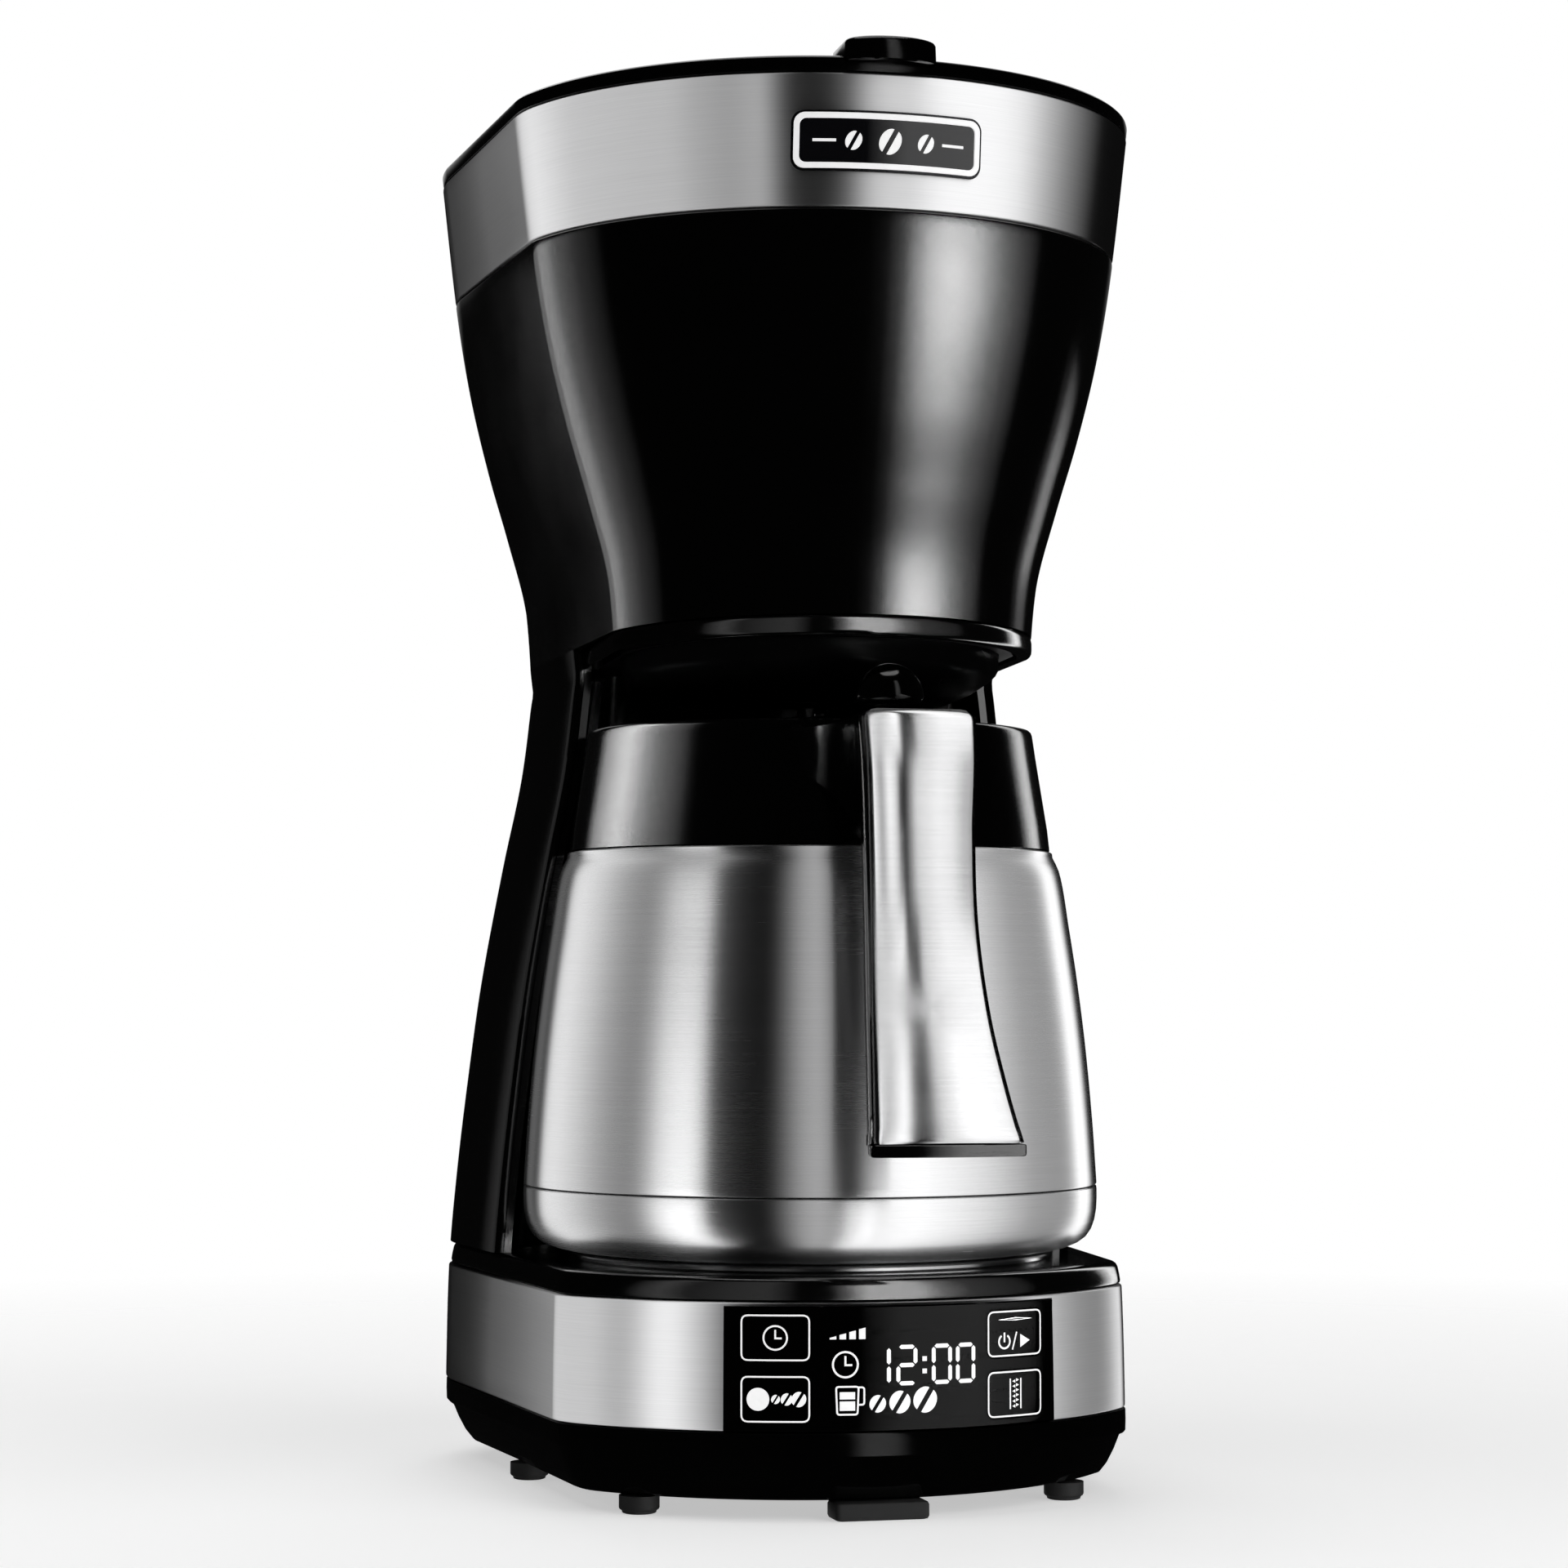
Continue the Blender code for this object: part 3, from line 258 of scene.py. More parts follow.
def woven_mesh(name, colour):
    """Fine filter cloth, with threads that cross."""
    made, tree, shader = new_material(name)
    vector = add(tree, "ShaderNodeTexCoord").outputs["Object"]
    heights = []
    for axis in ("X", "Y", "Z"):
        wave = add(tree, "ShaderNodeTexWave", Scale=420.0, Distortion=0.0)
        wave.bands_direction = axis
        tree.links.new(vector, wave.inputs["Vector"])
        heights.append(wave.outputs["Fac"])
    threads = combined(tree, "MAXIMUM", heights[0], heights[2])
    tree.links.new(tinted(tree, threads, [c * 0.3 for c in colour], colour), shader.inputs["Base Color"])
    tree.links.new(spread_over(tree, heights[1], 0.4, 0.6), shader.inputs["Roughness"])
    shader.inputs["Metallic"].default_value = 0.6
    bumped(tree, shader, threads, 0.0002)
    return made


def glowing(name, strength):
    """White print or lamp, with the slight unevenness of ink. On a lamp the emission is the lamp's light; on
    print it is a painted glow that keeps the print bright.
    """
    made, tree, shader = new_material(name)
    ink = stretched_noise(tree, (700, 700, 700))
    tree.links.new(tinted(tree, ink, (0.86, 0.86, 0.86), (0.95, 0.95, 0.95)), shader.inputs["Base Color"])
    tree.links.new(spread_over(tree, ink, 0.4, 0.55), shader.inputs["Roughness"])
    shader.inputs["Emission Color"].default_value = (1, 1, 1, 1)
    shader.inputs["Emission Strength"].default_value = strength
    return made


def circuit_board(name):
    made, tree, shader = new_material(name)
    vector = add(tree, "ShaderNodeTexCoord").outputs["Object"]
    bricks = add(tree, "ShaderNodeTexBrick", Scale=260.0)
    bricks.inputs["Color1"].default_value = (0.01, 0.09, 0.03, 1)
    bricks.inputs["Color2"].default_value = (0.015, 0.13, 0.04, 1)
    bricks.inputs["Mortar"].default_value = (0.05, 0.25, 0.09, 1)
    tree.links.new(vector, bricks.inputs["Vector"])
    tree.links.new(bricks.outputs["Color"], shader.inputs["Base Color"])
    tree.links.new(spread_over(tree, bricks.outputs["Fac"], 0.3, 0.5), shader.inputs["Roughness"])
    bumped(tree, shader, bricks.outputs["Fac"], 0.0001)
    return made


GLOSS = moulded("black_gloss", (0.0005, 0.0005, 0.0005), 0.1, 260, 0.0000015, 1.9)
PANEL = moulded("panel_gloss", (0.0005, 0.0005, 0.0005), 0.06, 260, 0.000001, 1.25)
SATIN = moulded("black_satin", (0.004, 0.004, 0.0043), 0.3, 2600, 0.000015)
PLASTIC = moulded("black_plastic", (0.01, 0.01, 0.0105), 0.48, 2200, 0.00004)
RUBBER = moulded("black_rubber", (0.014, 0.014, 0.014), 0.66, 1800, 0.00003)
SILICONE = moulded("silicone", (0.55, 0.55, 0.53), 0.45, 1500, 0.00002)
GLASS = moulded("dark_glass", (0.004, 0.004, 0.005), 0.05, 200, 0.0000005)
BAND_STEEL = brushed("band_steel", (0.66, 0.66, 0.665), 0.3)
STEEL = brushed("brushed_steel", (0.66, 0.66, 0.665), 0.265)
HANDLE_STEEL = brushed("handle_steel", (0.66, 0.66, 0.665), 0.18)
TURNED_STEEL = brushed("turned_steel", (0.66, 0.66, 0.665), 0.24, turned_about_z=True)
BRIGHT = metal("bright_steel", (0.75, 0.75, 0.75), 0.18)
DARK_METAL = metal("dark_metal", (0.03, 0.03, 0.032), 0.3)
ALUMINIUM = metal("aluminium", (0.55, 0.55, 0.57), 0.42, 700, 0.00008)
BRASS = metal("brass", (0.6, 0.42, 0.15), 0.32)
CLEAR = clear("clear_plastic", (0.75, 0.76, 0.77), 0.14, 0.75)
WINDOW = clear("window_plastic", (0.62, 0.62, 0.62), 0.3, 0.1)
FILTER = woven_mesh("filter_mesh", (0.42, 0.3, 0.14))
BOARD = circuit_board("circuit_board")
# White print: the white is the ink's own colour, and its emission is a painted glow, as print is no lamp
PRINT_PAINTED_GLOW = glowing("white_print_painted_glow", 0.35)
LAMP = glowing("lamp_white", 2.0)


# ---------------------------------------------------------------- mesh tools

def piece(name, shape, finish, body, slot, *nodes, crease=34):
    """A piece of the object from (points, faces) in mm. It rides on body and stands for nodes."""
    points, faces = shape
    mesh = bpy.data.meshes.new(name)
    mesh.from_pydata([Vector(point) * MM + DATUM for point in points], [], faces)
    tidy = bmesh.new()
    tidy.from_mesh(mesh)
    bmesh.ops.recalc_face_normals(tidy, faces=tidy.faces)
    tidy.to_mesh(mesh)
    tidy.free()
    mesh.materials.append(finish)
    made = bpy.data.objects.new(name, mesh)
    bpy.context.scene.collection.objects.link(made)
    smooth(made, crease)
    if body:
        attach(made, body)
    if nodes:
        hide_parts(*nodes)
    return made


def smooth(made, crease):
    made.data.shade_smooth()
    made.data.set_sharp_from_angle(angle=math.radians(crease))


def boolean(target, shapes, operation="DIFFERENCE", crease=34):
    """Cuts shapes out of a piece, or joins them to it."""
    helpers = []
    for i, shape in enumerate(shapes):
        helper = piece(f"helper_{i}", shape, target.data.materials[0], None, None)
        modifier = target.modifiers.new("boolean", "BOOLEAN")
        modifier.operation = operation
        modifier.solver = "EXACT"
        modifier.object = helper
        helpers.append(helper)
    bpy.context.view_layer.update()
    graph = bpy.context.evaluated_depsgraph_get()
    mesh = bpy.data.meshes.new_from_object(target.evaluated_get(graph))
    target.modifiers.clear()
    target.data = mesh
    for helper in helpers:
        bpy.data.objects.remove(helper)
    smooth(target, crease)


def loft(rings, ring_shaped=False):
    """Points and faces through rings of equal length, capped or joined end to start."""
    count = len(rings[0])
    points = [point for ring in rings for point in ring]
    faces = []
    steps = len(rings) if ring_shaped else len(rings) - 1
    for step in range(steps):
        first = step * count
        second = (step + 1) % len(rings) * count
        for i in range(count):
            j = (i + 1) % count
            faces.append((first + i, first + j, second + j, second + i))
    if not ring_shaped:
        faces.append(tuple(range(count))[::-1])
        faces.append(tuple(range((len(rings) - 1) * count, len(rings) * count)))
    return points, faces


def merged(shapes):
    points, faces = [], []
    for more_points, more_faces in shapes:
        start = len(points)
        points += more_points
        faces += [tuple(index + start for index in face) for face in more_faces]
    return points, faces


def spread(first, last, count):
    return [first + (last - first) * i / count for i in range(count + 1)]


def circle(radius, z, steps, centre=(0, 0)):
    turns = [2 * math.pi * i / steps for i in range(steps)]
    return [(centre[0] + radius * math.sin(t), centre[1] - radius * math.cos(t), z) for t in turns]


def turned(profile, steps=128, centre=(0, 0), ring_shaped=True):
    """A round piece about an upright axis from (radius, z) pairs."""
    return loft([circle(radius, z, steps, centre) for radius, z in profile], ring_shaped)


def rounded_corners(path, radius, steps=4, closed=True):
    """A path of 2D points with its corners rounded, by less where there is no room."""
    path = [Vector(point) for point in path]
    done = []
    for i, at in enumerate(path):
        before, after = path[i - 1], path[(i + 1) % len(path)]
        if not closed and i in (0, len(path) - 1):
            done.append(tuple(at))
            continue
        reach = min(radius, (before - at).length * 0.48, (after - at).length * 0.48)
        start = at + (before - at).normalized() * reach
        end = at + (after - at).normalized() * reach
        for step in range(steps + 1):
            t = step / steps
            done.append(tuple(start * (1 - t) ** 2 + at * 2 * t * (1 - t) + end * t ** 2))
    return done


def block(first, last, bevel=0.4):
    """A box with rounded edges, from its two corners."""
    (x0, y0, z0), (x1, y1, z1) = first, last
    rings = []
    for z, inset in ((z0, bevel), (z0 + bevel * 0.3, bevel * 0.3), (z0 + bevel, 0),
                     (z1 - bevel, 0), (z1 - bevel * 0.3, bevel * 0.3), (z1, bevel)):
        corners = [(x0 + inset, y0 + inset), (x1 - inset, y0 + inset),
                   (x1 - inset, y1 - inset), (x0 + inset, y1 - inset)]
        rings.append([(x, y, z) for x, y in rounded_corners(corners, bevel * 1.5)])
    return loft(rings)


def tube(path, radius, steps=20, inner=None):
    """A hose or bent rod along a list of points."""
    path = [Vector(point) for point in path]
    rings, bore = [], []
    up = Vector((0.03, 0.02, 1)).normalized()
    for i, point in enumerate(path):
        along = (path[min(i + 1, len(path) - 1)] - path[max(i - 1, 0)]).normalized()
        side = (up - along * up.dot(along)).normalized()
        up = side
        other = along.cross(side)
        turns = [2 * math.pi * k / steps for k in range(steps)]
        rings.append([point + (side * math.cos(t) + other * math.sin(t)) * radius for t in turns])
        if inner:
            bore.append([point + (side * math.cos(t) + other * math.sin(t)) * inner for t in turns])
    return loft(rings + bore[::-1], True) if inner else loft(rings)


def eased(stations, at):
    """A smooth curve through (position, value) stations, in either order."""
    if stations[0][0] > stations[-1][0]:
        stations = stations[::-1]
    if at <= stations[0][0]:
        return stations[0][1]
    for i in range(len(stations) - 1):
        (x0, y0), (x1, y1) = stations[i], stations[i + 1]
        if at > x1:
            continue
        xa, ya = stations[max(i - 1, 0)]
        xb, yb = stations[min(i + 2, len(stations) - 1)]
        slope0 = (y1 - ya) / (x1 - xa) * (x1 - x0)
        slope1 = (yb - y0) / (xb - x0) * (x1 - x0)
        t = (at - x0) / (x1 - x0)
        return (
            (2 * t ** 3 - 3 * t * t + 1) * y0 + (t ** 3 - 2 * t * t + t) * slope0
            + (3 * t * t - 2 * t ** 3) * y1 + (t ** 3 - t * t) * slope1
        )
    return stations[-1][1]


# ---------------------------------------------------------------- body plan

def body_sizes(z):
    """(side half-width, corner x, corner y, front y, back y) of the body at height z."""
    stations, growth = (UPPER_SWELL, UPPER_GROWTH) if z >= WAIST_Z else (LOWER_SWELL, LOWER_GROWTH)
    swell = eased(stations, z)
    return tuple(size + more * swell for size, more in zip(WAIST, growth))


def front_axis(z):
    """(radius, centre y, half-angle) of the front arc at height z."""
    _, corner_x, corner_y, front_y, _ = body_sizes(z)
    rise = corner_y - front_y
    radius = (corner_x ** 2 + rise ** 2) / (2 * rise)
    centre_y = front_y + radius
    return radius, centre_y, math.acos((centre_y - corner_y) / radius)


def rear_half(z, inset, steps=30):
    """(x, y) from the side's rear end to the middle of the back, on the right."""
    side, _, _, _, back = body_sizes(z)
    points = []
    for i in range(steps + 1):
        t = math.pi / 2 * i / steps
        points.append((
            (side - inset) * max(math.cos(t), 0) ** 0.72,
            SIDE_Y + (back - inset - SIDE_Y) * math.sin(t) ** 0.72,
        ))
    points[-1] = (0, back - inset)
    return points


def wing_x(z, inset=0.0, y=WING_Y):
    """Half-width of the side facet at y."""
    side, corner_x, corner_y, _, _ = body_sizes(z)
    return corner_x + (side - corner_x) * (y - corner_y) / (SIDE_Y - corner_y) - inset


def front_half(z, inset, fillet, steps=56, corner_steps=8):
    """(x, y) from the middle of the front round the arc and its rounded corner."""
    radius, centre_y, half = front_axis(z)
    corner = Vector(((radius - inset) * math.sin(half), centre_y - (radius - inset) * math.cos(half)))
    trim = fillet / radius
    arc = [(half - trim) * i / steps for i in range(steps + 1)]
    points = [((radius - inset) * math.sin(t), centre_y - (radius - inset) * math.cos(t)) for t in arc]
    facet = Vector((wing_x(z, inset), WING_Y)) - corner
    start, end = Vector(points[-1]), corner + facet.normalized() * fillet
    for i in range(1, corner_steps + 1):
        t = i / corner_steps
        points.append(tuple(start * (1 - t) ** 2 + corner * 2 * t * (1 - t) + end * t * t))
    return points


def mirrored(half):
    """A closed outline from its right half, whose ends lie on the middle line."""
    return half + [(-x, y) for x, y in half[-2:0:-1]]


def both_sides(half):
    """An open outline from its right half, which starts on the middle line."""
    return [(-x, y) for x, y in half[::-1]] + half[1:]


def plan(z, inset, fillet):
    return mirrored(front_half(z, inset, fillet) + [(wing_x(z, inset), WING_Y)] + rear_half(z, inset))


def at_height(outline, z, tilt=0.0):
    """Lifts an outline to height z; tilt drops it towards the back."""
    return [(x, y, z - tilt * (y + WAIST_FRONT)) for x, y in outline]


def wall_section(bottom, top, thickness, bevel, levels):
    """(z, inset) round a wall with rounded outer edges: up the outside, over the top, down the inside."""
    quarter = [math.pi / 2 * k / 4 for k in range(5)]
    section = [(bottom + bevel * (1 - math.cos(a)), bevel * (1 - math.sin(a))) for a in quarter]
    section += [(z, 0) for z in spread(bottom + bevel, top - bevel, levels)[1:-1]]
    section += [(top - bevel * (1 - math.sin(a)), bevel * (1 - math.cos(a))) for a in quarter]
    section += [(z, thickness) for z in spread(top, bottom, levels)]
    return section


# ---------------------------------------------------------------- base

def make_base():
    skirt = [(SKIRT_Z, 10.5), (SKIRT_Z + 0.3, 9.3), (3.9, 7.6), (6.4, 5.6), (10, 3.7), (13.9, 2.1),
             (14.5, 1.9), (14.6, 0.9), (15.2, 0.35), (18, 0.2), (20.7, 0.2), (21.0, 0.35),
             (BAND_Z - SEAM, 0.8)]
    inner = [(BAND_Z - SEAM, 4.5), (8, 9.5), (SKIRT_Z, 16)]
    rings = [at_height(plan(z, inset, DECK_FILLET), z) for z, inset in skirt + inner]
    piece("base_skirt_skin", loft(rings, True), GLOSS, "machine", "black_gloss", "base_skirt", crease=28)

    section = wall_section(BAND_Z, BAND_TOP_Z, 2, 0.5, 6)
    rings = [at_height(plan(z, inset, BAND_FILLET), z) for z, inset in section]
    band = piece("base_band_skin", loft(rings, True), BAND_STEEL, "machine", "brushed_steel", "base_band")
    gland = tube([(30, 100, 34), (30, 130, 34)], 5.3)
    boolean(band, [panel_opening(), gland], crease=30)

    edge = [(BAND_TOP_Z + SEAM, 5), (BAND_TOP_Z + SEAM, 1.3), (BAND_TOP_Z + 0.6, 0.8),
            (BAND_TOP_Z + 1.2, 0.6), (57, 0.8), (DECK_Z - 1.6, 1.1), (DECK_Z - 0.8, 1.5),
            (DECK_Z - 0.25, 2.3), (DECK_Z, 3.4), (DECK_Z, 8)]
    rings = [at_height(plan(z, inset, DECK_FILLET), z) for z, inset in edge]
    deck = piece("platform_skin", loft(rings), GLOSS, "machine", "black_gloss", "platform_deck")
    holes = []
    for radius, centre in ((4.5, (50.5, 81)), (6.5, (0, 92))):
        holes.append(turned(((radius, 50), (radius, 64)), 24, centre, False))
    boolean(deck, holes)


def make_rest_plate():
    profile = [(0.5, DECK_Z + 0.05), (66.0, DECK_Z + 0.05), (66.3, DECK_Z + 0.4), (66.3, REST_Z - 0.5),
               (66.0, REST_Z - 0.1), (65.4, REST_Z), (60, REST_Z), (59.2, REST_Z - 0.5), (30, REST_Z - 0.5),
               (29.4, REST_Z), (0.5, REST_Z)]
    piece("rest_plate_skin", turned(profile, ring_shaped=False), TURNED_STEEL, "machine", "brushed_steel",
          "carafe_rest_plate")


def make_feet():
    table = low("foot_front_left").z
    top = high("foot_front_left").z
    for node in ("foot_front_left", "foot_front_right", "foot_side_left", "foot_side_right"):
        middle = (low(node) + high(node)) / 2
        profile = [(0.4, table), (3.9, table), (4.4, table + 0.2), (4.6, table + 0.8), (5.1, table + 1.1),
                   (5.3, table + 1.5), (5.3, top)]
        shape = turned(profile, 40, (middle.x, middle.y), False)
        piece(node + "_skin", shape, RUBBER, "machine", "rubber", node)
    for node in ("foot_front_centre", "foot_rear_centre"):
        piece(node + "_skin", block(low(node), high(node), 0.9), RUBBER, "machine", "rubber", node)


# ---------------------------------------------------------------- control panel

PANEL_RADIUS, PANEL_AXIS_Y, _ = front_axis(40)
MM_PER_DEGREE = math.radians(PANEL_RADIUS)


def on_panel(u, v, out):
    """A point on the panel: u mm along its curve from the middle of the front, v height, out of it."""
    turn = u / PANEL_RADIUS
    radius = PANEL_RADIUS + out
    return radius * math.sin(turn), PANEL_AXIS_Y - radius * math.cos(turn), v


def bent_plate(u0, u1, v0, v1, inner, outer, corner=0.0, bevel=0.25, steps=60):
    """A plate bent to the panel's curve, with rounded corners and a fine bevel in front."""
    rings = []
    across = spread(-1, 1, steps)
    if corner:
        across = [math.sin(math.pi / 2 * a) for a in across]
    half_u, half_v = (u1 - u0) / 2, (v1 - v0) / 2
    middle_u, middle_v = (u0 + u1) / 2, (v0 + v1) / 2
    for a in across:
        past = max(abs(a) * half_u - half_u + corner, 0)
        half = half_v - corner + math.sqrt(max(corner ** 2 - past ** 2, 0)) * 0.98
        edge = bevel * 0.3
        section = [(-half, inner), (-half, outer - bevel), (-half + edge, outer - edge),
                   (-half + bevel, outer), (half - bevel, outer), (half - edge, outer - edge),
                   (half, outer - bevel), (half, inner)]
        rings.append([on_panel(middle_u + a * half_u, middle_v + v, out) for v, out in section])
    return loft(rings)


def panel_opening():
    """The hole in the steel band that the panel fills."""
    reach = PANEL_HALF_TURN * MM_PER_DEGREE + 0.3
    middle = PANEL_TURN * MM_PER_DEGREE
    return bent_plate(middle - reach, middle + reach, BAND_Z - 5, PANEL_TOP_Z + 0.3, -12, 8, bevel=0)


def stroke(path, width, closed=False, out=0.0):
    """A printed line along (u, v) points, as a thin closed strip."""
    path = followed([Vector(point) for point in path], closed)
    count = len(path)
    rings = []
    for i, at in enumerate(path):
        before = path[i - 1] if closed or i else at
        after = path[(i + 1) % count] if closed or i < count - 1 else at
        first = (at - before).normalized() if (at - before).length else (after - at).normalized()
        second = (after - at).normalized() if (after - at).length else first
        normal = Vector((-first.y - second.y, first.x + second.x)).normalized()
        reach = width / 2 / max(normal.dot(Vector((-first.y, first.x))), 0.5)
        left, right = at + normal * reach, at - normal * reach
        rings.append([on_panel(*left, out - 0.03), on_panel(*right, out - 0.03),
                      on_panel(*right, out + 0.05), on_panel(*left, out + 0.05)])
    return loft(rings, closed)


def followed(path, closed, longest=1.2):
    """Adds points to long straights, so that a line bends with the panel."""
    done = []
    for i, at in enumerate(path):
        done.append(at)
        if i == len(path) - 1 and not closed:
            break
        after = path[(i + 1) % len(path)]
        parts = max(math.ceil((after - at).length / longest), 1)
        done += [at.lerp(after, part / parts) for part in range(1, parts)]
    return done


def filled(outline, out=0.0):
    """A printed area with the given (u, v) outline."""
    return loft([[on_panel(u, v, out + lift) for u, v in outline] for lift in (-0.03, 0.08)])


def ellipse(u, v, radius_u, radius_v, steps=32, start=0.0, end=360.0):
    turns = [math.radians(t) for t in spread(start, end, steps)]
    points = [(u + radius_u * math.cos(t), v + radius_v * math.sin(t)) for t in turns]
    return points[:-1] if end - start >= 360 else points


def frame_line(u, v, half_u, half_v, corner, width, out=0.0):
    corners = [(u - half_u, v - half_v), (u + half_u, v - half_v),
               (u + half_u, v + half_v), (u - half_u, v + half_v)]
    return stroke(rounded_corners(corners, corner, 5), width, True, out)


def clock_icon(u, v, radius, width, out=0.0):
    hands = [(u, v + radius * 0.68), (u, v - radius * 0.04), (u + radius * 0.55, v - radius * 0.04)]
    return [stroke(ellipse(u, v, radius, radius), width, True, out), stroke(hands, width, False, out)]


def bean_halves(radius, tall, wide, lean, parting=0.13):
    """Outlines about (0, 0) of the two halves of a coffee bean, parted by a slanting line."""
    cosine, sine = math.cos(math.radians(lean)), math.sin(math.radians(lean))
    halves = []
    for side in (-1, 1):
        outline = []
        for t in spread(-84, 84, 16):
            x = side * radius * (wide * math.cos(math.radians(t)) + parting)
            y = radius * tall * math.sin(math.radians(t))
            outline.append((x * cosine - y * sine, x * sine + y * cosine))
        halves.append(outline)
    return halves


def bean_icon(u, v, radius, out=0.0):
    return [filled([(u + x, v + y) for x, y in half], out) for half in bean_halves(radius, 1.08, 0.92, -32)]


SEGMENTS = {"0": "abcdef", "1": "bc", "2": "abged"}


def digit(character, u, v, width, height, thick):
    """A seven-segment figure whose lower left corner is at (u, v)."""
    middle = height / 2
    runs = {
        "a": ((0, height), (width, height)),
        "b": ((width, height), (width, middle)),
        "c": ((width, middle), (width, 0)),
        "d": ((0, 0), (width, 0)),
        "e": ((0, middle), (0, 0)),
        "f": ((0, height), (0, middle)),
        "g": ((0, middle), (width, middle)),
    }
    shapes = []
    for name in SEGMENTS[character]:
        start, end = (Vector(point) for point in runs[name])
        along = (end - start).normalized()
        across = Vector((-along.y, along.x)) * thick / 2
        start, end = start + along * thick * 0.22, end - along * thick * 0.22
        point = along * thick * 0.5
        outline = [start, start + point + across, end - point + across,
                   end, end - point - across, start + point - across]
        shapes.append(filled([(u + p.x, v + p.y) for p in outline]))
    return shapes


def square(u, v, half):
    return filled([(u - half, v - half), (u + half, v - half), (u + half, v + half), (u - half, v + half)])


def mug_icon(u, v, width, height, line):
    """A carafe with its level, as an outline with two filled bars."""
    half_w, half_h = width / 2, height / 2
    body = [(u - half_w, v + half_h), (u + half_w, v + half_h),
            (u + half_w * 0.9, v - half_h), (u - half_w * 0.9, v - half_h)]
    grip = [(u + half_w, v + half_h * 0.95), (u + half_w * 1.5, v + half_h * 0.95),
            (u + half_w * 1.5, v - half_h * 0.3), (u + half_w, v - half_h * 0.3)]
    shapes = [stroke(rounded_corners(body, line * 1.5), line, True),
              stroke(rounded_corners(grip, line * 1.5, 4, False), line)]
    for base, top in ((-0.72, -0.05), (0.1, 0.62)):
        inside = half_w * 0.68
        shapes.append(filled([(u - inside, v + base * half_h), (u + inside, v + base * half_h),
                              (u + inside, v + top * half_h), (u - inside, v + top * half_h)]))
    return shapes


def key_middles():
    """The middle (u, v) of each key on the panel, by its name."""
    middles = {}
    for name in ("key_clock", "key_strength", "key_power", "key_descale"):
        middle = (low(name) + high(name)) / 2
        turn = math.atan2(middle.x, PANEL_AXIS_Y - middle.y)
        middles[name] = (math.degrees(turn) * MM_PER_DEGREE, middle.z)
    return middles


KEY_HALF_U = 9.2
KEY_HALF_V = 6.2
KEY_FACE = -0.05
KEY_GAP = 0.2


def make_keys():
    for name, (u, v) in key_middles().items():
        body = name.removeprefix("key_") + "_key"
        plate = bent_plate(u - KEY_HALF_U, u + KEY_HALF_U, v - KEY_HALF_V, v + KEY_HALF_V, -3, KEY_FACE, 2.2)
        piece(name + "_skin", plate, PANEL, body, "black_gloss", name)
        signs = [frame_line(u, v, KEY_HALF_U - 0.55, KEY_HALF_V - 0.55, 1.7, 0.42, KEY_FACE)]
        signs += KEY_SIGNS[name](u, v)
        # The key signs are white print with a painted glow
        piece(name + "_print", merged(signs), PRINT_PAINTED_GLOW, body, "led")
        if name == "key_power":
            glow = filled([(u - 5.6, v + 3.6), (u, v + 3.3), (u + 5.6, v + 3.6), (u, v + 4.05)], KEY_FACE)
            piece("power_glow", glow, LAMP, body, "led")


def clock_sign(u, v):
    return clock_icon(u, v, 3.0, 0.45, KEY_FACE)


def strength_sign(u, v):
    """A large dot and three beans."""
    signs = [filled(ellipse(u - 4.4, v, 2.9, 2.9), KEY_FACE)]
    for offset, radius in ((0.1, 1.05), (2.9, 1.4), (6.0, 1.75)):
        signs += bean_icon(u + offset, v, radius, KEY_FACE)
    return signs


def power_sign(u, v):
    """The usual sign for power, and a play triangle for brewing."""
    at = v - 2.0
    ring = ellipse(u - 3.6, at, 1.75, 1.75, 28, 122, 418)
    arrow = [(u + 1.6, at - 1.7), (u + 4.8, at), (u + 1.6, at + 1.7)]
    stem = [(u - 3.6, at - 0.2), (u - 3.6, at + 2.3)]
    slash = [(u - 1.0, at - 2.2), (u + 0.4, at + 2.3)]
    return [stroke(ring, 0.5, False, KEY_FACE), stroke(stem, 0.5, False, KEY_FACE),
            stroke(slash, 0.42, False, KEY_FACE), filled(arrow, KEY_FACE)]


def descale_sign(u, v):
    """Two upright bars with scale flaking off between them."""
    signs = []
    for side in (-1, 1):
        signs.append(stroke([(u + side * 1.75, v - 3.9), (u + side * 1.75, v + 3.9)], 0.4, False, KEY_FACE))
    for i in range(6):
        for side in (-1, 1):
            at = v - 3.2 + i * 1.28 + (0.3 if side > 0 else 0)
            tip, base = u + side * 0.15, u + side * 1.1
            signs.append(filled([(tip, at - 0.42), (base, at), (tip, at + 0.42)], KEY_FACE))
    return signs


KEY_SIGNS = {"key_clock": clock_sign, "key_strength": strength_sign, "key_power": power_sign,
             "key_descale": descale_sign}


